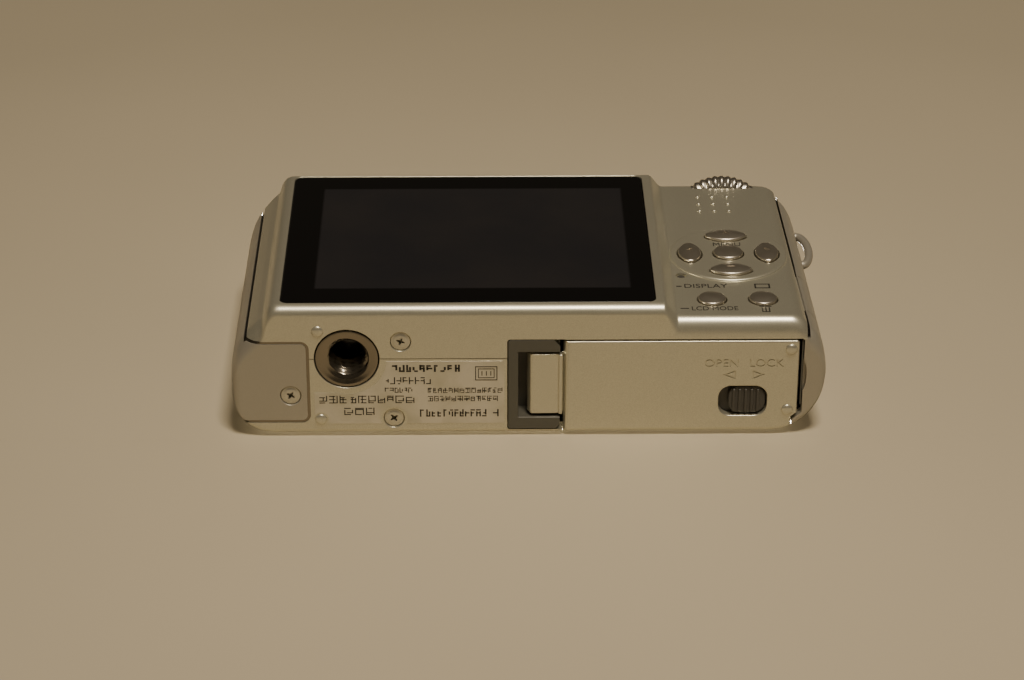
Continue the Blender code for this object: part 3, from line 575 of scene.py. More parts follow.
def section(x, inset=0.0):
    """Cross-section of the body at x, in (y, z), anticlockwise, with its four edges rounded."""
    y0, y1 = front_y(x) + inset, rear_y(x) - inset
    z0, z1 = z_range(x)
    z0, z1 = z0 + inset, z1 - inset
    step = step_share(x)
    swell = min(1.0, max(0.0, (x - 40.6) / 2.6))
    swell = 1.7 * swell * swell * (3 - 2 * swell)
    room = min((y1 - y0), (z1 - z0)) * 0.42
    wanted = [(1.1, 1.1), (1.8 + 1.65 * step + swell, 1.8 + 0.35 * step + swell)]
    wanted += [(1.4 - 0.85 * step, 1.4 - 0.85 * step), (1.3, 1.3)]
    radii = [[max(0.05, min(room, r - inset)) for r in pair] for pair in wanted]
    corners = [
        (y0 + radii[0][0], z0 + radii[0][1], 180, 270),
        (y1 - radii[1][0], z0 + radii[1][1], 270, 360),
        (y1 - radii[2][0], z1 - radii[2][1], 0, 90),
        (y0 + radii[3][0], z1 - radii[3][1], 90, 180),
    ]
    points = []
    for (cy, cz, start, end), pair in zip(corners, radii):
        points += arc(cy, cz, pair, start, end, 11)
    return points


def body_stations():
    stations = [GRIP_X + 0.004 + (1 - cosine) * 2.9 for _, cosine in quarter_turns(16)]
    stations += [GRIP_EDGE_X - 0.01, GRIP_EDGE_X + 0.01]
    stations += [-43.15 + 0.16 * i for i in range(19)]
    stations += [-39.9, -39.2, -38.4, -37.4, -36.2, -34.0, -30.0, -26.0, -23.4]
    stations += [-22.9 + 0.14 * i for i in range(20)]
    stations += [-20.1, -19.0, -12.0, -4.0, 4.0, 12.0, 20.0, 28.0, 36.0, 39.4]
    stations += [39.75 + 0.15 * i for i in range(38)]
    stations += [45.5 + (PLAIN_X - 0.004 - 45.5) * sine for sine, _ in quarter_turns(16)]
    return stations


def lean(x, z):
    """The grip end leans in a little towards the top."""
    share = min(1.0, max(0.0, (-34.0 - x) / 12.3))
    return x + 0.8 * share * (z - BASE_Z) / (TOP_Z - BASE_Z)


def body_solid(inset=0.0):
    rings = []
    for x in body_stations():
        place = x
        if inset:
            place = x + inset * min(1.0, max(0.0, (-36.0 - x) / 10.3))
            place -= inset * min(1.0, max(0.0, (x - 41.0) / 6.7))
        rings.append([(lean(place, z), y, z) for y, z in section(x, inset)])
    return skin(rings)


def hollow_body():
    return cut(body_solid(), body_solid(WALL))


def slanted_trim(extra):
    """Region of the grip-end trim behind the battery door; its edge leans in towards the top."""
    low, high = -43.55 + extra, -42.35 + extra
    outline = [(-60.0, -5.0), (low, -5.0), (low, BASE_Z), (high, TOP_Z), (high, 60.0), (-60.0, 60.0)]
    return prism("Y", outline, 5.9, 9.3 + extra)


def grip_region(extra=0.0):
    region = box((-60, -42.65 + extra), (-20, 6.1), (-5, 60))
    corner = [(-60, -20), (-41.1 + extra, -20), (-41.1 + extra, -8.3), (-42.65 + extra, -6.85), (-60, -6.85)]
    join(region, prism("Z", corner, -5, DOOR_TOP_Z + 0.4 + extra))
    return join(region, slanted_trim(extra))


def plain_region(extra=0.0):
    side = box((45.6 - extra, 60), grown((-5.4, 6.2), extra), (-5, 60))
    outline = rounded_box((35.8 - extra, 60), grown((-7.9, 5.6), extra), 0.9 + extra)
    return join(side, prism("Z", outline, -5, BASE_Z + WALL + 0.2 + extra))


def screw_holes(*names):
    return [flared("Z", circle(*SCREWS[name], SCREW_HEAD + 0.05), 4, BASE_Z, 0.16, -5) for name in names]


def base_openings():
    depth = (-5, DOOR_TOP_Z + GAP)
    door = box((DOOR_X[0] - 0.5, DOOR_X[1] + 0.1), (-20, DOOR_REAR_Y + 0.33), depth)
    block = prism("Z", rounded_box((DOOR_X[1] - 0.5, BLOCK_X[1] + 0.15), grown(BLOCK_Y, 0.15), 0.5), *depth)
    ring = flared("Z", circle(TRIPOD_X, TRIPOD_Y, TRIPOD_RING + 0.15, 96), 6, BASE_Z, 0.12, -5)
    return [door, block, ring, *screw_holes(*SCREWS)]


def top_openings():
    dial = rod("Z", DIAL_X, DIAL_Y, DIAL_RADIUS + 0.35, DIAL_Z[0] - GAP, 60, 128)
    lever = rod("Z", SHUTTER_X, SHUTTER_Y, SHUTTER_RADIUS + 1.2, 48, 60, 96)
    slot = rounded_box(around(SWITCH_X, SWITCH_TRAVEL / 2 + 1.3), around(SWITCH_Y, 1.1), 1.05)
    key = circle(STABILISER_X, STABILISER_Y, STABILISER_RADIUS + 0.15)
    return [dial, lever, *[flared("Z", outline, 48, TOP_Z, 0.15, 60) for outline in (slot, key)]]


def dome(x, y, z, radius, height, way, axis="Z", sides=24):
    """Small raised dome; way is the direction it stands in along the axis."""
    profile = [(radius, -0.3 * way)]
    for sine, cosine in quarter_turns(6):
        profile.append((max(0.02, radius * cosine), height * sine * way))
    a, b, along = {"Z": (x, y, z), "Y": (x, z, y)}[axis]
    return stepped_rod(axis, a, b, along_from(along, *profile), sides)


def feet(*places):
    return [dome(x, y, BASE_Z, 0.95, 0.42, -1) for x, y in places]


def front_casing():
    shell = common(hollow_body(), box((-60, 60), (-20, SEAM_Y - 0.06), (-5, 60)))
    cut(shell, plain_region(0.5), grip_region(0.5))
    cut(shell, *base_openings(), *top_openings())
    lens = rod("Y", LENS_X, LENS_Z, LENS_RING - 0.9, -20, 0, 128)
    flash = flared("Y", rounded_box(FLASH_X, FLASH_Z, 1.2), 0, FRONT_Y, 0.15, -20)
    lamp = flared("Y", circle(LAMP_X, LAMP_Z, LAMP_RADIUS + 0.12, 48), 0, FRONT_Y, 0.15, -20)
    cut(shell, lens, flash, lamp)
    mics = [rod("Y", 21.6 + dx, 47.2, 0.32, -20, -9, 16) for dx in (-1.6, 0.0, 1.6)]
    cut(shell, *mics)
    join(shell, *feet((33.7, -7.8)))
    return finish(shell, "front_casing", "camera", "silver_paint", ["front_shell"])


def button_outlines(extra):
    length, width = 7.2 + 2.2 * extra, 3.8 + 2 * extra
    outlines = {
        "up_button": almond(PAD_X, PAD_Z + 6.3, length, width, False),
        "down_button": almond(PAD_X, PAD_Z - 6.3, length, width, False),
        "left_button": almond(PAD_X + 6.3, PAD_Z, length, width, True),
        "right_button": almond(PAD_X - 6.3, PAD_Z, length, width, True),
        "centre_button": circle(PAD_X, PAD_Z, 2.4 + extra, 48),
    }
    for name, x in SMALL_BUTTONS.items():
        outlines[name] = circle(x, 7.85, 2.2 + extra, 48)
    return outlines


def rear_casing():
    shell = common(hollow_body(), box((-60, 60), (SEAM_Y + 0.06, 20), (-5, 60)))
    cut(shell, plain_region(0.5), grip_region(0.5))
    cut(shell, *base_openings(), *top_openings())
    window = rounded_box(grown(WINDOW_X, 0.12), grown(WINDOW_Z, 0.12), 1.3)
    cut(shell, flared("Y", window, PANEL_Y, DISPLAY_Y, 0.12, 20))
    rise = PAD_TOP_Y - PANEL_Y - 0.02
    pad = [(PAD_RADIUS + 0.05, PANEL_Y - 0.5), (PAD_RADIUS + 0.05, PANEL_Y)]
    for sine, cosine in quarter_turns(6):
        pad.append((PAD_RADIUS - 0.55 + 0.55 * cosine, PANEL_Y + 0.02 + rise * sine))
    join(shell, stepped_rod("Y", PAD_X, PAD_Z, pad, 128))
    for name, outline in button_outlines(0.22).items():
        top = PANEL_Y if name in SMALL_BUTTONS else PAD_TOP_Y
        cut(shell, flared("Y", outline, 5, top, 0.12, 20))
    cut(shell, rod("Y", STATUS_X, STATUS_Z, 0.88, PANEL_Y - 0.45, 20, 32))
    join(shell, *feet((33.9, 7.9)))
    places = [(x, z) for x in (-28.65, -31.12, -33.6) for z in (46.2, 43.4, 40.65)]
    bumps = [dome(x, PANEL_Y, z, 0.42, 0.3, 1, "Y", 20) for x, z in places]
    item = finish(shell, "rear_casing", "camera", "silver_paint", ["rear_shell"])
    finish(merge("thumb_dots", bumps), "thumb_dots", "camera", "silver_paint")
    return item


def trims():
    plain = cut(common(hollow_body(), plain_region()), *screw_holes("tab_screw"))
    finish(plain, "plain_trim", "camera", "trim_paint", ["plain_end_trim"])
    grip = common(hollow_body(), grip_region())
    cut(grip, box((-60, -40), grown(FLAP_Y, 0.15), grown(FLAP_Z, 0.15)))
    low, high = EYELET_Z[0] + EYELET_WIRE, EYELET_Z[1] - EYELET_WIRE
    for z in (low, high):
        cut(grip, rod("X", EYELET_Y, z, EYELET_WIRE + 0.18, -60, -40, 32))
    scoop = arc(-42.2, -0.2, (0.95, 3.1), 90, 270, 24)
    cut(grip, prism("Z", scoop, -5, 1.55))
    finish(grip, "grip_trim", "camera", "trim_paint", ["grip_end_trim"])
    # a dark grey wall inside the gap at the grip end of the door: painted shade, so the gap reads dark
    wall = box((-42.5, -42.3), (-5.6, 5.8), (BASE_Z + 0.35, DOOR_TOP_Z + 0.6))
    finish(wall, "door_gap_shade_wall", "camera", "dark_plastic", material=HINGE, weighted=False)
    # painted shade: black sheets behind the two end gaps, and a shallow mid-dark one behind the outline of
    # the tab, so these gaps read dark
    near_plain = box((34.9, 46.5), (-20, 20), (2.0, 60))
    near_grip = join(box((-44.2, -41.6), (6.3, 20), (-5, 60)), box((-44.2, -41.6), (-20, 20), (2.7, 60)))
    for name, region in (("plain_gap_painted_shade", near_plain), ("grip_gap_painted_shade", near_grip)):
        gap_shade_sheet = common(cut(body_solid(0.3), body_solid(1.1)), region)
        finish(gap_shade_sheet, name, "camera", "dark_plastic", material=MATERIALS["black_gloss"], weighted=False)
    shallow = common(cut(body_solid(0.16), body_solid(0.9)), box((34.9, 46.2), (-9, 8.2), (-5, 2.6)))
    cut(shallow, prism("Z", circle(*SCREWS["tab_screw"], SCREW_HEAD + 0.45, 32), -2, 4))
    finish(shallow, "tab_gap_painted_shade", "camera", "trim_paint", material=SOCKET, weighted=False)
    flap = common(hollow_body(), box((-60, -40), FLAP_Y, FLAP_Z))
    nick = rod("Y", -46.6, 19.6, 0.9, FLAP_Y[1] - 1.6, 20, 24)
    finish(cut(flap, nick), "socket_cover", "socket_flap", "trim_paint", ["socket_flap"])
    middle = (low + high) / 2
    bow = arc(-45.4, middle, (1.6, (high - low) / 2), 90, 270, 40)
    points = [(-42.9, EYELET_Y, high), (-44.4, EYELET_Y, high)]
    points += [(x, EYELET_Y, z) for x, z in bow]
    points += [(-44.4, EYELET_Y, low), (-42.9, EYELET_Y, low)]
    finish(wire(points, EYELET_WIRE), "strap_loop", "camera", "steel", ["strap_eyelet"], LOOP, weighted=False)


def display():
    plate = soft_plate("Y", rounded_box(WINDOW_X, WINDOW_Z, 1.2), DISPLAY_Y - 1.2, DISPLAY_Y - 0.08, 0.12)
    finish(plate, "display_glass", "camera", "black_gloss", ["display_window"], DISPLAY)


# ---------------------------------------------------------------- base


def door():
    """The lid with its edges eased, its hinge arm and the slot for the latch."""
    outline = rounded_box(DOOR_X, (-20.0, DOOR_REAR_Y), 0.5)
    sections = [(DOOR_TOP_Z, outline), (BASE_Z + 0.35, outline)]
    for sine, cosine in quarter_turns(5, 1):
        sections.append((BASE_Z + 0.35 - 0.35 * sine, offset(outline, 0.35 * (1 - cosine))))
    sections.append((BASE_Z - 0.5, offset(outline, 0.36)))
    lid = common(body_solid(), loft("Z", sections))
    corner = [(-43.0, -20.0), (-40.75, -20.0), (-40.75, -7.85), (-41.6, -7.05), (-43.0, -6.5)]
    cut(lid, prism("Z", corner, -5, 5))
    shoulder = [(-5.7, 0.0), (-4.0, 0.0), (-4.0, 1.5), (-4.62, 1.5)]
    falls = (0.0, 0.12, 0.25, 0.4, 0.55, 0.75, 1.0)
    shoulder += [(-4.62 - 1.05 * fall, BASE_Z + 0.85 * (1 - fall) ** 2) for fall in falls]
    cut(lid, prism("Y", shoulder, -20, 20))
    arm = [(-5.9, 2.0), (-5.9, 1.6), (-4.6, 1.6), (-4.58, 0.7), (-4.5, 0.58), (-4.14, 0.58), (-4.02, 0.68)]
    arm += [(-3.95, 0.98), (-3.35, 0.9), (0.0, 0.86), (0.35, 0.95), (0.6, 1.2), (0.7, 1.55), (0.7, 2.0)]
    start, end = ARM_Y
    ends = [(start, offset(arm, 0.12)), (start + 0.12, arm), (end - 0.12, arm), (end, offset(arm, 0.12))]
    radius = KNUCKLE_RADIUS - 0.3
    knuckle = [(radius - 0.2, start), (radius, start + 0.2), (radius, end - 0.2), (radius - 0.2, end)]
    join(lid, loft("Y", ends), stepped_rod("Y", PIN_X, PIN_Z, knuckle, 64))
    slot = rounded_box(LATCH_SLOT_X, LATCH_SLOT_Y, 2.0, 12)
    cut(lid, rod("Y", PIN_X, PIN_Z, 0.8, -20, 20, 32), flared("Z", slot, 6, BASE_Z, 0.2, -5))
    for x, way in ((-31.0, 1), (-35.5, -1)):
        points = [(x + way * 1.05, -0.05), (x - way * 0.95, 0.8), (x - way * 0.95, -0.9)]
        outside = points if way > 0 else points[::-1]
        arrow = cut(prism("Z", outside, -5, BASE_Z + 0.16), prism("Z", offset(outside, 0.27), -6, BASE_Z + 1))
        cut(lid, arrow)
    for word, span in DOOR_WORDS:
        cut(lid, lettering(word, span, (1.35, 2.7), BASE_Z + 0.16, 0.5, "base"))
    join(lid, *feet((-40.6, 4.4), (-40.3, -6.4)))
    finish(lid, "door_lid", "battery_door", "silver_paint", ["battery_door"])


def latch():
    """Thumb pad with five rounded ribs in the door's slot."""
    pad_y = grown(LATCH_SLOT_Y, -0.28)
    outline = rounded_box(LATCH_PAD_X, pad_y, 1.8, 12)
    pad = soft_plate("Z", outline, DOOR_TOP_Z + 0.6, BASE_Z + 0.42, 0.25, False)
    for i in range(5):
        x = LATCH_PAD_X[0] + 1.0 + i * 0.95
        rib = rounded_box((x - 0.02, x + 0.5), grown(pad_y, -0.35), 0.22)
        join(pad, soft_plate("Z", rib, BASE_Z + 0.6, BASE_Z + 0.08, 0.2, False))
    plate = box((-38.6, -28.6), grown(LATCH_SLOT_Y, 0.8), (DOOR_TOP_Z + 0.25, DOOR_TOP_Z + 0.95))
    finish(join(pad, plate), "latch_pad", "door_latch", "dark_plastic", ["door_latch"], LATCH)


def hinge():
    outline = rounded_box(BLOCK_X, BLOCK_Y, 0.35)
    flange = soft_plate("Z", outline, DOOR_TOP_Z, BASE_Z + 0.03, 0.12, False)
    body = box(BLOCK_X, (FRONT_Y + WALL + GAP, BLOCK_Y[1] - 0.01), (BASE_Z + 0.5, BLOCK_TOP_Z))
    join(flange, body)
    window = rounded_box((BLOCK_X[0] - 3, 2.4), (-7.6, 4.0), 0.15)
    cut(flange, flared("Z", window, BLOCK_TOP_Z - 0.8, BASE_Z + 0.03, 0.22, -5))
    for wedge in ([(-4.5, 4.6), (-3.1, 6.4), (-4.5, 6.4)], [(-4.5, -9.9), (-3.5, -9.9), (-4.5, -8.2)]):
        cut(flange, prism("Z", wedge, -5, 1.5))
    finish(flange, "hinge_frame", "camera", "dark_plastic", ["hinge_block"], HINGE)


def tripod():
    """Ring with a dished face and a helical thread of 1.27 mm pitch inside."""
    pitch, crest, root = 1.27, 2.9, 3.4

    def thread(along):
        def radius(turn):
            phase = (along / pitch - turn / (2 * math.pi)) % 1.0
            tooth = 1 - abs(2 * phase - 1)
            return crest + (root - crest) * min(1.0, 1.5 * tooth)

        return radius

    face, rim = BASE_Z + 0.02, TRIPOD_RING
    profile = [(4.2, TRIPOD_TOP_Z + 1.0), (4.2, 2.6), (rim, 2.55)]
    profile += along_from(face, (rim, 0.3), (rim - 0.08, 0.08), (rim - 0.28, 0), (rim - 0.6, 0.02))
    profile += along_from(face, (rim - 0.75, 0.12), (3.75, 0.16), (3.5, 0.3))
    steps, start = 60, face + 0.5
    for i in range(steps + 1):
        along = start + (TRIPOD_TOP_Z - 0.2 - start) * i / steps
        profile.append((thread(along), along))
    profile += [(2.4, TRIPOD_TOP_Z - 0.1), (0.05, TRIPOD_TOP_Z), (0.05, TRIPOD_TOP_Z + 1.0)]
    insert = turned("Z", TRIPOD_X, TRIPOD_Y, profile, 96)
    finish(insert, "tripod_insert", "camera", "steel", ["tripod_socket"], SOCKET)
    # a black disc deep in the tripod hole: painted shade, so the hole reads dark inside
    shade_disc = rod("Z", TRIPOD_X, TRIPOD_Y, 2.9, TRIPOD_TOP_Z - 0.5, TRIPOD_TOP_Z - 0.25)
    finish(shade_disc, "tripod_hole_painted_shade", "camera", "dark_plastic", material=MATERIALS["black_gloss"], weighted=False)


def screws():
    head = BASE_Z + 0.12
    profile = along_from(head, (0.03, -0.02), (0.8, 0), (1.1, 0.02), (1.2, 0.08), (1.5, 0.12))
    profile += along_from(head, (SCREW_HEAD, 0.22), (SCREW_HEAD, 0.9), (0.8, 0.95), (0.8, 2.4))
    half = [(-0.7, -0.08), (-0.4, -0.2), (0.4, -0.2), (0.7, -0.08)]
    half += [(0.7, 0.08), (0.4, 0.2), (-0.4, 0.2), (-0.7, 0.08)]
    for name, (x, y) in SCREWS.items():
        screw = stepped_rod("Z", x, y, profile, 48)
        spin = math.radians(SCREW_TURNS[name])
        for turn in (spin, spin + math.pi / 2):
            sine, cosine = math.sin(turn), math.cos(turn)
            arm = [(x + a * cosine - b * sine, y + a * sine + b * cosine) for a, b in half]
            cut(screw, prism("Z", arm, -1, head + 1.1))
        finish(screw, name + "_head", "camera", "steel", [name], SCREW)


def on_face(face, u, v, depth):
    """Point of the rear or base face; u runs the way its marks are read and v is up in them."""
    return (-u, depth, v) if face == "rear" else (-u, v, depth)


def slab(u, v, depth, thick, face):
    """Flat block on a face, standing out of it by thick."""
    out = thick if face == "rear" else -thick
    corners = ((u[0], v[0]), (u[1], v[0]), (u[1], v[1]), (u[0], v[1]))
    return skin([[on_face(face, a, b, at) for a, b in corners] for at in (depth, depth + out)])


def strokes(start, middle, width, height, line, dense, rng):
    """Upright and level strokes of one unreadable sign, as (u range, v range)."""
    low, high = middle - height / 2, middle + height / 2
    end = start + width
    parts = []
    stems = [start, end - line] + ([start + (width - line) / 2] if dense else [])
    for stem in rng.sample(stems, 2 if dense else rng.choice((1, 1, 2))):
        bottom, top = low + height * rng.choice((0, 0, 0.25)), high - height * rng.choice((0, 0.3))
        parts.append(((stem, stem + line), (bottom, top)))
    levels = [low, low + (height - line) / 2, high - line]
    levels += [low + height * 0.25, high - height * 0.3] if dense else []
    for level in rng.sample(levels, 3 if dense else rng.choice((1, 2))):
        left = start + width * rng.choice((0, 0, 0.3))
        parts.append(((left, end - width * rng.choice((0, 0.25))), (level, level + line * 0.85)))
    return parts


def greeked(rows, seed, depth, thick, face):
    """Rows of unreadable signs, each row given as in LABEL_ROWS."""
    rng = random.Random(seed)
    items = []
    for start, end, middle, height, width, line, dense in rows:
        at = start
        while at < end - width * 0.4:
            wide = min(width * rng.uniform(0.8, 1.1), end - at)
            signs = strokes(at, middle, wide, height, line, dense, rng)
            items += [slab(u, v, depth, thick, face) for u, v in signs]
            at += wide + width * 0.24
    return items


def lettering(word, span, lines, depth, thick, face):
    """A generic word as thin letters standing out of a face; they fill the span of x and the two lines."""
    curve = bpy.data.curves.new(word, "FONT")
    curve.body = word
    curve.resolution_u = 3
    flat = bpy.data.objects.new(word, curve)
    bpy.context.scene.collection.objects.link(flat)
    mesh = bpy.data.meshes.new_from_object(flat.evaluated_get(bpy.context.evaluated_depsgraph_get()))
    bpy.data.objects.remove(flat, do_unlink=True)
    bpy.data.curves.remove(curve)
    build = bmesh.new()
    build.from_mesh(mesh)
    bmesh.ops.remove_doubles(build, verts=build.verts, dist=1e-5)
    sheet = bmesh.ops.extrude_face_region(build, geom=list(build.faces))
    raised = {v for v in sheet["geom"] if isinstance(v, bmesh.types.BMVert)}
    us, vs = [v.co.x for v in build.verts], [v.co.y for v in build.verts]
    out = thick if face == "rear" else -thick
    for vert in build.verts:
        u = -span[0] + (vert.co.x - min(us)) / (max(us) - min(us)) * (span[0] - span[1])
        v = lines[0] + (vert.co.y - min(vs)) / (max(vs) - min(vs)) * (lines[1] - lines[0])
        vert.co = on_face(face, u, v, depth + (out if vert in raised else 0.0))
    return new_object(word, build)


# u start, u end, middle, height, sign width, line width, dense
LABEL_ROWS = [
    (-22.3, -11.6, 1.33, 1.25, 0.95, 0.32, False),
    (-23.5, -16.2, -0.85, 1.25, 0.8, 0.19, False),
    (-23.5, -18.9, -2.55, 0.9, 0.62, 0.15, False),
    (-16.7, -4.9, -2.62, 0.92, 0.72, 0.12, True),
    (-33.9, -18.1, -4.2, 1.35, 1.25, 0.17, True),
    (-16.7, -5.3, -4.1, 0.95, 0.8, 0.13, True),
    (-30.0, -25.2, -6.35, 1.3, 1.3, 0.18, True),
    (-18.0, -7.3, -6.7, 1.3, 0.8, 0.23, False),
    (-6.4, -5.3, -6.7, 1.3, 0.9, 0.23, False),
]


def label():
    """L-shaped film with rows of unreadable signs in place of print."""
    top, bottom = BASE_Z + 0.02, BASE_Z - 0.07
    film = soft_plate("Z", rounded_box((4.6, 34.7), (-8.6, SEAM_Y - 0.4), 0.35), top, bottom, 0.04, False)
    ring_room = rod("Z", TRIPOD_X, TRIPOD_Y, TRIPOD_RING + 1.25, -5, 5, 128)
    screw_room = rod("Z", *SCREWS["base_screw_front"], SCREW_HEAD + 0.55, -5, 5, 48)
    foot_room = rod("Z", 33.7, -7.8, 1.25, -5, 5, 32)
    notch = box((TRIPOD_X, 44), (-3.0, 14), (-5, 5))
    cut(film, ring_room, notch, screw_room, foot_room)
    finish(film, "label_sheet", "camera", "label_film", ["base_label"])
    place = (bottom + 0.01, 0.03, "base")
    bars = []
    for left, right, low, high, line in ((-9.2, -5.7, -0.85, 1.65, 0.14), (-8.75, -6.15, -0.45, 1.25, 0.12)):
        bars += [((left, right), (low, low + line)), ((left, right), (high - line, high))]
        bars += [((left, left + line), (low, high)), ((right - line, right), (low, high))]
    bars += [((u, u + 0.14), (0.0, 0.8)) for u in (-8.2, -7.5, -6.8)]
    printed("label_marks", greeked(LABEL_ROWS, 7, *place) + [slab(u, v, *place) for u, v in bars])


# ---------------------------------------------------------------- rear controls


def domed_button(outline, low, high, centre, rise=0.35):
    """Button with straight sides, a round shoulder and a gently domed top."""

    def shrunk(share):
        x, y = centre
        return [(x + (a - x) * share, y + (b - y) * share) for a, b in outline]

    shoulder = high - rise - 0.3
    sections = [(low, outline), (shoulder, outline)]
    for sine, cosine in quarter_turns(6, 1):
        sections.append((shoulder + 0.34 * sine, shrunk(1 - 0.12 * (1 - cosine))))
    base = sections[-1][0]
    for i in range(1, 9):
        share = 0.88 * (1 - i / 8.2)
        sections.append((base + (high - base) * (1 - (share / 0.88) ** 2), shrunk(share)))
    return loft("Y", sections)


ARROW_WAYS = {"up_button": (0, 1), "down_button": (0, -1), "left_button": (1, 0), "right_button": (-1, 0)}


def rear_controls():
    for name, outline in button_outlines(0.0).items():
        centre = [sum(values) / len(outline) for values in zip(*outline)]
        small = name in SMALL_BUTTONS
        high = PANEL_Y + 0.65 if small else PAD_TOP_Y + 0.7
        button = domed_button(outline, 7.9, high, centre, 0.3)
        a, b = centre
        if name in ARROW_WAYS:
            way = ARROW_WAYS[name]
            side = (-way[1], way[0])
            tip = [(a + way[0] * 0.6, b + way[1] * 0.6)]
            for s in (0.75, -0.75):
                tip.append((a - way[0] * 0.45 + side[0] * s, b - way[1] * 0.45 + side[1] * s))
            cut(button, prism("Y", tip, high - 0.16, high + 1))
        finish(button, name.replace("_button", "_key"), name, "chrome", [name], sharp=40, weighted=False)
    place = (PANEL_Y - 0.005, 0.025, "rear")
    marks = [
        lettering("DISPLAY", (-24.3, -31.2), (11.85, 13.2), *place),
        lettering("LCD MODE", (-25.0, -32.3), (3.95, 5.3), *place),
        lettering("MENU", (-29.9, -34.4), (26.35, 27.7), PAD_TOP_Y - 0.005, 0.025, "rear"),
    ]
    # dashes before the two words, a frame above the delete button and a bin below it
    signs = [((23.0, 23.85), (12.25, 12.55)), ((23.2, 24.55), (4.5, 4.75))]
    signs += [((35.5, 38.0), (11.6, 11.85)), ((35.5, 38.0), (12.95, 13.2)), ((35.5, 35.75), (11.6, 13.2))]
    signs += [((37.75, 38.0), (11.6, 13.2)), ((35.7, 37.6), (5.1, 5.35)), ((36.0, 36.2), (3.3, 4.9))]
    signs += [((36.55, 36.75), (3.3, 4.9)), ((37.1, 37.3), (3.3, 4.9)), ((36.0, 37.3), (3.3, 3.5))]
    printed("key_marks", marks + [slab(u, v, *place) for u, v in signs])
    profile = along_from(PANEL_Y, (0.66, -0.6), (0.66, -0.3), (0.5, -0.18), (0.2, -0.12))
    lamp = stepped_rod("Y", STATUS_X, STATUS_Z, profile, 32)
    finish(lamp, "status_light", "camera", "clear", material=LATCH)


# ---------------------------------------------------------------- top controls


def dial():
    """Knob with rounded ribs; its lower edge is a ribbed cone, which stands out of the rear panel."""

    def rim(inside, depth=0.26):
        def radius(turn):
            tooth = 0.5 + 0.5 * math.cos(turn * DIAL_TEETH)
            return DIAL_RADIUS - inside - depth * (1 - tooth**0.7)

        return radius

    low, high = DIAL_Z
    stem = 1.5
    profile = [(stem, 47.1)] + along_from(low, (stem, 0), (6.7, 0), (6.9, 0.06), (rim(1.15, 0.1), 0.1))
    profile += along_from(low, (rim(0.7, 0.4), 0.3), (rim(0.25, 0.4), 0.65), (rim(0.04), 1.0))
    profile += along_from(low, (rim(0.0), 1.2))
    profile += along_from(high, (rim(0.0), -0.75), (rim(0.04), -0.5), (rim(0.18), -0.25), (7.75, -0.1))
    profile += along_from(high, (7.35, -0.02), (6.9, 0), (6.75, -0.03), (6.7, -0.14), (6.5, -0.18))
    profile += along_from(high, (3.0, -0.15), (0.1, -0.14))
    knob = stepped_rod("Z", DIAL_X, DIAL_Y, profile, 8 * DIAL_TEETH)
    finish(knob, "dial_knob", "mode_dial", "steel", ["mode_dial"], SATIN, sharp=40, weighted=False)
    marks = []
    for i in range(7):
        turn = math.radians(40 + i * 360 / 7)
        x, y = DIAL_X + 5.2 * math.cos(turn), DIAL_Y + 5.2 * math.sin(turn)
        shape = circle(x, y, 0.62, 24) if i % 2 else rounded_box(around(x, 0.7), around(y, 0.5), 0.2)
        marks.append(prism("Z", shape, high - 0.19, high - 0.145))
    printed("dial_marks", marks, "mode_dial")


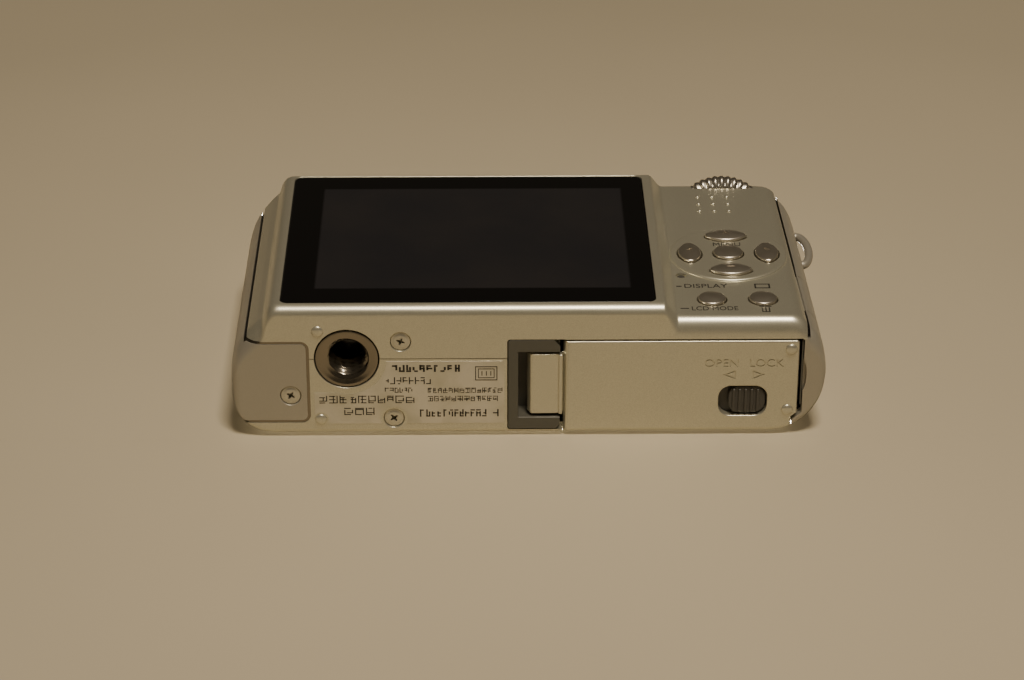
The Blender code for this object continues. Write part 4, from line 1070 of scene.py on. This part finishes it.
def top_buttons():
    low, high = LEVER_Z
    bore = SHUTTER_RADIUS + 0.18
    profile = [(bore, high - 0.1), (bore + 0.15, high), (LEVER_RADIUS - 0.6, high)]
    for sine, cosine in quarter_turns(5, 1):
        profile.append((LEVER_RADIUS - 0.6 + 0.6 * sine, high - 0.6 * (1 - cosine)))
    profile += [(LEVER_RADIUS, low + 0.1), (LEVER_RADIUS - 0.1, low), (SHUTTER_RADIUS + 0.9, low)]
    profile += [(SHUTTER_RADIUS + 0.9, 48.6), (bore, 48.6)]
    lever = turned("Z", SHUTTER_X, SHUTTER_Y, profile, 96)
    outline = rounded_box(around(SHUTTER_X, 1.7), (SHUTTER_Y - 9.0, SHUTTER_Y - 6.0), 1.2)
    join(lever, soft_plate("Z", outline, low + 0.02, high + 0.1, 0.35))
    finish(lever, "zoom_ring", "zoom_lever", "steel", ["zoom_lever"], RING)

    radius, top = SHUTTER_RADIUS, SHUTTER_TOP_Z
    profile = [(1.2, 47.5), (1.2, 48.9), (radius, 49.0), (radius, top - 0.62)]
    for sine, cosine in quarter_turns(5, 1):
        profile.append((radius - 0.4 * (1 - cosine), top - 0.62 + 0.4 * sine))
    for i in range(1, 10):
        r = (radius - 0.4) * (1 - i / 9.05)
        profile.append((r, top - 0.22 * (r / radius) ** 2))
    key = stepped_rod("Z", SHUTTER_X, SHUTTER_Y, profile, 96)
    finish(key, "shutter_key", "shutter_button", "chrome", ["shutter_button"], sharp=40, weighted=False)

    x, y = SWITCH_X + SWITCH_TRAVEL / 2, SWITCH_Y
    outline = rounded_box(around(x, 2.7), around(y, 1.7), 1.5, 12)
    knob = soft_plate("Z", outline, TOP_Z + 0.15, TOP_Z + 1.2, 0.35)
    for i in range(-2, 3):
        ridge = rounded_box(around(x + i * 0.75, 0.16), around(y, 1.1), 0.15)
        join(knob, soft_plate("Z", ridge, TOP_Z + 1.0, TOP_Z + 1.32, 0.12, False))
    join(knob, box(around(x, 1.0), around(y, 0.8), (47.0, TOP_Z + 0.5)))
    finish(knob, "power_slider", "power_switch", "chrome", ["power_switch"])

    radius, top = STABILISER_RADIUS, TOP_Z + 0.55
    profile = [(1.0, 47.5), (1.0, 48.9), (radius, 49.0)]
    profile += along_from(top, (radius, -0.3), (radius - 0.1, -0.1), (radius - 0.35, 0))
    profile += along_from(top, (radius - 0.9, -0.02), (0.05, -0.12))
    key = stepped_rod("Z", STABILISER_X, STABILISER_Y, profile, 64)
    node = "stabiliser_button"
    finish(key, "stabiliser_key", node, "chrome", [node], sharp=40, weighted=False)
    dots = [(SWITCH_X - 3.2, SWITCH_Y), (SWITCH_X + 5.0, SWITCH_Y), (STABILISER_X, STABILISER_Y + 3.4)]
    printed("deck_marks", [rod("Z", a, b, 0.3, TOP_Z - 0.01, TOP_Z + 0.015, 24) for a, b in dots])


# ---------------------------------------------------------------- front


def lens():
    front = -12.1
    profile = [(17.8, -10.8), (LENS_RING, -10.8), (LENS_RING, front + 0.8)]
    for sine, cosine in quarter_turns(7, 1):
        profile.append((LENS_RING - 0.8 * (1 - cosine), front + 0.8 - 0.8 * sine))
    profile += along_from(front, (17.5, 0), (17.2, 0.06), (16.9, 0.3), (16.45, 0.8), (16.25, 1.0))
    profile += [(16.25, -8.6), (17.8, -8.6)]
    finish(turned("Y", LENS_X, LENS_Z, profile, 160), "lens_bezel", "camera", "steel", ["lens_ring"], RING)

    front, rim = -11.1, OUTER_BARREL
    profile = [(rim, 3.6), (14.7, 3.6)]
    profile += along_from(front, (14.7, 0.8), (13.6, 0.8), (13.6, 0.1), (13.75, 0))
    profile += along_from(front, (rim - 0.35, 0), (rim - 0.1, 0.1), (rim, 0.35))
    for groove in (front + 1.2, front + 2.2):
        profile += along_from(groove, (rim, 0), (rim - 0.12, 0.06), (rim - 0.12, 0.3), (rim, 0.36))
    sleeve = turned("Y", LENS_X, LENS_Z, profile, 128)
    finish(sleeve, "barrel_sleeve", "outer_barrel", "steel", ["lens_outer_barrel"])

    nose, shelf, rim = -11.4, -9.4, INNER_BARREL
    profile = [(rim, 2.6), (12.6, 2.6)] + along_from(shelf, (12.6, 0.9), (8.2, 0.9), (8.2, 0), (12.6, 0))
    profile += along_from(nose, (12.6, 0.8), (5.3, 0.8), (5.35, 0.55), (5.9, 0.12), (6.3, 0.02), (9.0, 0.1))
    profile += along_from(nose, (9.15, 0.22), (9.5, 0.22), (9.65, 0.08), (12.6, 0))
    profile += along_from(nose, (rim - 0.3, 0), (rim - 0.08, 0.1), (rim, 0.35))
    barrel = turned("Y", LENS_X, LENS_Z, profile, 128)
    finish(barrel, "barrel_nose", "inner_barrel", "steel", ["lens_inner_barrel"])

    marks = []
    rng = random.Random(5)
    for start, end in ((200, 250), (290, 340)):
        turn = start
        while turn < end:
            wide = rng.uniform(1.6, 3.4)
            a0, a1 = math.radians(turn), math.radians(turn + wide)
            ring = [(10.4, a0), (11.5, a0), (11.5, a1), (10.4, a1)]
            outline = [(LENS_X + r * math.cos(a), LENS_Z + r * math.sin(a)) for r, a in ring]
            marks.append(prism("Y", outline, nose + 0.04, nose))
            turn += wide + rng.uniform(1.2, 2.0)
    printed("barrel_marks", marks, "inner_barrel")

    rim, crown = 7.8, shelf - 0.75
    profile = [(0.05, crown)]
    for i in range(1, 12):
        r = rim * i / 11
        profile.append((r, crown + 1.1 * (r / rim) ** 2))
    profile += [(rim, 0.5), (6.5, 2.0), (0.05, 2.6)]
    element = stepped_rod("Y", LENS_X, LENS_Z, profile, 96)
    coat = Paint("lens_coating", (0.02, 0.015, 0.035), 0.0, 0.03)
    coat.set("Coat Weight", 1.0)
    coat.set("Coat Tint", (0.55, 0.45, 0.95, 1))
    coat.set("Specular IOR Level", 0.9)
    depth = coat.noise(80.0, 1.0)
    coat.link(coat.ramp(depth, (0.012, 0.01, 0.03), (0.03, 0.018, 0.045), 0.4, 0.6), "Base Color")
    nodes = ["front_lens_group"]
    finish(element, "lens_glass", "inner_barrel", "clear", nodes, coat.material, weighted=False)


def blades():
    """Two half discs that close the lens, each with an arm to its pivot."""
    side, up = 10.2, 1.7
    low, high = -10.25, -9.75
    for name, sign in (("upper_barrier_blade", 1), ("lower_barrier_blade", -1)):
        half = [(x, 0.12 + y) for x, y in arc(0, 0, (5.9, 5.9), 0, 180, 40)]
        outline = [(LENS_X + x, LENS_Z + sign * z) for x, z in half]
        blade = prism("Y", outline if sign > 0 else outline[::-1], low, high)
        link = [(4.5, 0.12), (side, 0.6), (side, up + 1.1), (3.5, 4.6)]
        link = [(LENS_X + x, LENS_Z + sign * z) for x, z in link]
        join(blade, prism("Y", link if sign > 0 else link[::-1], low, high))
        join(blade, rod("Y", LENS_X + side, LENS_Z + sign * up, 1.15, low, high, 32))
        which = "upper" if sign > 0 else "lower"
        finish(
            blade, which + "_shutter_leaf", which + "_blade", "dark_plastic", [name], LATCH, weighted=False
        )


def flash_and_lamp():
    outline = rounded_box(grown(FLASH_X, -0.15), grown(FLASH_Z, -0.15), 1.05)
    window = soft_plate("Y", outline, -9.0, FRONT_Y + 0.02, 0.15, False)
    for i in range(12):
        z = 42.9 + i * 0.37
        cut(window, box((-3.8, 4.4), (-9.35, -8.0), (z, z + 0.14)))
    finish(window, "flash_cover", "camera", "clear", ["flash_window"])
    profile = [(LAMP_RADIUS, -8.4), (LAMP_RADIUS, FRONT_Y + 0.3)]
    for i in range(1, 10):
        r = LAMP_RADIUS * (1 - i / 9.05)
        profile.append((r, FRONT_Y + 0.3 - 0.45 * (1 - (r / LAMP_RADIUS) ** 2)))
    lamp = stepped_rod("Y", LAMP_X, LAMP_Z, profile, 64)
    finish(lamp, "focus_lamp", "camera", "amber", ["focus_lamp_lens"], sharp=40, weighted=False)


# ---------------------------------------------------------------- inside


def inner_pieces():
    """The inner CAD nodes keep their shapes and take the materials of their slots."""
    slots = {entry["node"]: entry["material_slot"] for entry in frame["record"]["subparts"]}
    for name, node in frame["nodes"].items():
        if node.hide_render:
            continue
        node.data.materials.clear()
        node.data.materials.append(MATERIALS[slots[name]])
        for polygon in node.data.polygons:
            polygon.material_index = 0
    pads = [box((-24.4 + i * 2.6, -22.9 + i * 2.6), (-3.4, -1.6), (3.13, 3.2)) for i in range(3)]
    contacts = merge("battery_contacts", pads)
    finish(contacts, "battery_contacts", "camera", "steel", material=BRASS, weighted=False)


# ---------------------------------------------------------------- stage, light and view

CLOTH = (0.58, 0.505, 0.37)
ROOM_DARK, ROOM_PALE = (0.160, 0.127, 0.080), (0.180, 0.143, 0.090)
LIGHTS = [
    ("key", (-0.11, 0.93, -0.31), (0.22, 0.22), 8.2, (1.0, 0.87, 0.68)),
    ("front_fill", (-0.02, -0.50, 0.98), (0.3, 0.15), 24.0, (1.0, 0.90, 0.76)),
]
LIGHT_TARGET = (0, 0, 0.025)
ROOM_LIGHT, ROOM_STRENGTH = (0.80, 0.66, 0.46), 0.09
VIEW_YAW, VIEW_PITCH, VIEW_ROLL = 0.701, 27.651, 0.083
VIEW_PLACE = (8.414, 221.014, -409.238)
SENSOR, FOCAL_SHARE = 36.0, 2951.0 / 1024.0  # the focal length is given as a share of the sensor's width


def one_sided(name, colour):
    """A pale surface that shows only from its upper side; its colour is painted darker away from the object,
    a painted falloff of light.
    """
    paint = Paint(name, colour, 0.0, 0.85)
    broad = paint.noise(5.0, 3.0)
    dark = tuple(c * 0.93 for c in colour)
    light = tuple(min(1.0, c * 1.05) for c in colour)
    patches = paint.ramp(broad, dark, light, 0.3, 0.7)
    # painted falloff of light: the colour darkens from the middle outwards, as the lamps' light does on the
    # cloth
    reach = paint.tree.nodes.new("ShaderNodeVectorMath")
    reach.operation = "LENGTH"
    paint.tree.links.new(paint.place, reach.inputs[0])
    painted_light_falloff = paint.ramp(reach.outputs["Value"], 1.0, 0.72, 0.02, 0.19)
    mix = paint.tree.nodes.new("ShaderNodeMix")
    mix.data_type = "RGBA"
    mix.blend_type = "MULTIPLY"
    mix.inputs["Factor"].default_value = 1.0
    paint.tree.links.new(patches, mix.inputs["A"])
    paint.tree.links.new(painted_light_falloff, mix.inputs["B"])
    paint.link(mix.outputs["Result"], "Base Color")
    folds = paint.noise(9.0, 1.0, (1.0, 2.4, 0.7))
    paint.bump(folds, 0.25, 0.02)
    tree = paint.tree
    output = next(node for node in tree.nodes if node.type == "OUTPUT_MATERIAL")
    geometry = tree.nodes.new("ShaderNodeNewGeometry")
    clear = tree.nodes.new("ShaderNodeBsdfTransparent")
    mix = tree.nodes.new("ShaderNodeMixShader")
    tree.links.new(geometry.outputs["Backfacing"], mix.inputs["Fac"])
    tree.links.new(paint.shader.outputs["BSDF"], mix.inputs[1])
    tree.links.new(clear.outputs["BSDF"], mix.inputs[2])
    tree.links.new(mix.outputs["Shader"], output.inputs["Surface"])
    return paint.material


def table(name, build, material):
    """A large flat sheet made of the faces in build."""
    mesh = bpy.data.meshes.new(name)
    build.to_mesh(mesh)
    build.free()
    item = bpy.data.objects.new(name, mesh)
    item.data.materials.append(material)
    item.visible_shadow = False
    bpy.context.scene.collection.objects.link(item)
    return item


def seen_by_camera_only(item):
    item.visible_diffuse = item.visible_glossy = item.visible_transmission = False


def lying_table(material):
    """Sheet under the lens side; the body doesn't reflect the part next to it, so its front is lit."""
    near = [(-60.0, 2.0), (60.0, 2.0), (60.0, 62.0), (-60.0, 62.0)]
    far = [(TABLE_HALF * a, TABLE_HALF * b) for a, b in ((-1, -1), (1, -1), (1, 1), (-1, 1))]
    build = bmesh.new()
    rings = [[build.verts.new((x * MM, TABLE_Y * MM, z * MM)) for x, z in ring] for ring in (near, far)]
    for i in range(4):
        j = (i + 1) % 4
        build.faces.new((rings[0][i], rings[0][j], rings[1][j], rings[1][i]))
    table("table_lying", build, material)
    build = bmesh.new()
    build.faces.new([build.verts.new((x * MM, TABLE_Y * MM, z * MM)) for x, z in reversed(near)])
    seen_by_camera_only(table("table_under_body", build, material))


def upright_table(material):
    build = bmesh.new()
    bmesh.ops.create_grid(build, x_segments=2, y_segments=2, size=TABLE_HALF * MM)
    seen_by_camera_only(table("table_upright", build, material))


def backdrop():
    """A plain room far behind the object."""
    paint = Paint("room_wall", (0.0, 0.0, 0.0), 0.0, 1.0)
    paint.link(paint.ramp(paint.noise(1.5, 1.0), ROOM_DARK, ROOM_PALE, 0.3, 0.7), "Emission Color")
    paint.set("Emission Strength", 1.0)
    build = bmesh.new()
    bmesh.ops.create_uvsphere(build, u_segments=64, v_segments=32, radius=(TABLE_HALF - 10) * MM)
    seen_by_camera_only(table("room_wall", build, paint.material))


def area_light(name, place, size, power, colour):
    light = bpy.data.lights.new(name, "AREA")
    light.shape = "RECTANGLE"
    light.size, light.size_y = size
    light.energy = power
    light.color = colour
    item = bpy.data.objects.new(name, light)
    item.location = place
    item.rotation_euler = (Vector(LIGHT_TARGET) - Vector(place)).to_track_quat("-Z", "Y").to_euler()
    bpy.context.scene.collection.objects.link(item)


def stage_and_light():
    cloth = one_sided("pale_table", CLOTH)
    lying_table(cloth)
    upright_table(cloth)
    backdrop()
    for light in LIGHTS:
        area_light(*light)
    world = bpy.data.worlds.new("soft_room")
    bpy.context.scene.world = world
    world.use_nodes = True
    background = world.node_tree.nodes["Background"]
    background.inputs["Color"].default_value = (*ROOM_LIGHT, 1)
    background.inputs["Strength"].default_value = ROOM_STRENGTH


def view():
    """The lying camera seen from its base end, at about 28 degrees above the table."""
    yaw, pitch, roll = (math.radians(a) for a in (VIEW_YAW, VIEW_PITCH, VIEW_ROLL))
    data = bpy.data.cameras.new("view")
    data.sensor_width = SENSOR
    data.lens = FOCAL_SHARE * SENSOR
    data.clip_start = 0.01
    item = bpy.data.objects.new("view", data)
    ahead = Vector((-math.sin(yaw) * math.cos(pitch), -math.sin(pitch), math.cos(yaw) * math.cos(pitch)))
    right = ahead.cross(Vector((0, 1, 0))).normalized()
    up = right.cross(ahead)
    right, up = right * math.cos(roll) + up * math.sin(roll), up * math.cos(roll) - right * math.sin(roll)
    turn = Matrix((right, up, -ahead)).transposed()
    item.matrix_world = Matrix.Translation(Vector(VIEW_PLACE) * MM) @ turn.to_4x4()
    bpy.context.scene.collection.objects.link(item)
    bpy.context.scene.camera = item


view()
stage_and_light()
front_casing()
rear_casing()
trims()
display()
door()
latch()
hinge()
tripod()
screws()
label()
rear_controls()
dial()
top_buttons()
lens()
blades()
flash_and_lamp()
inner_pieces()
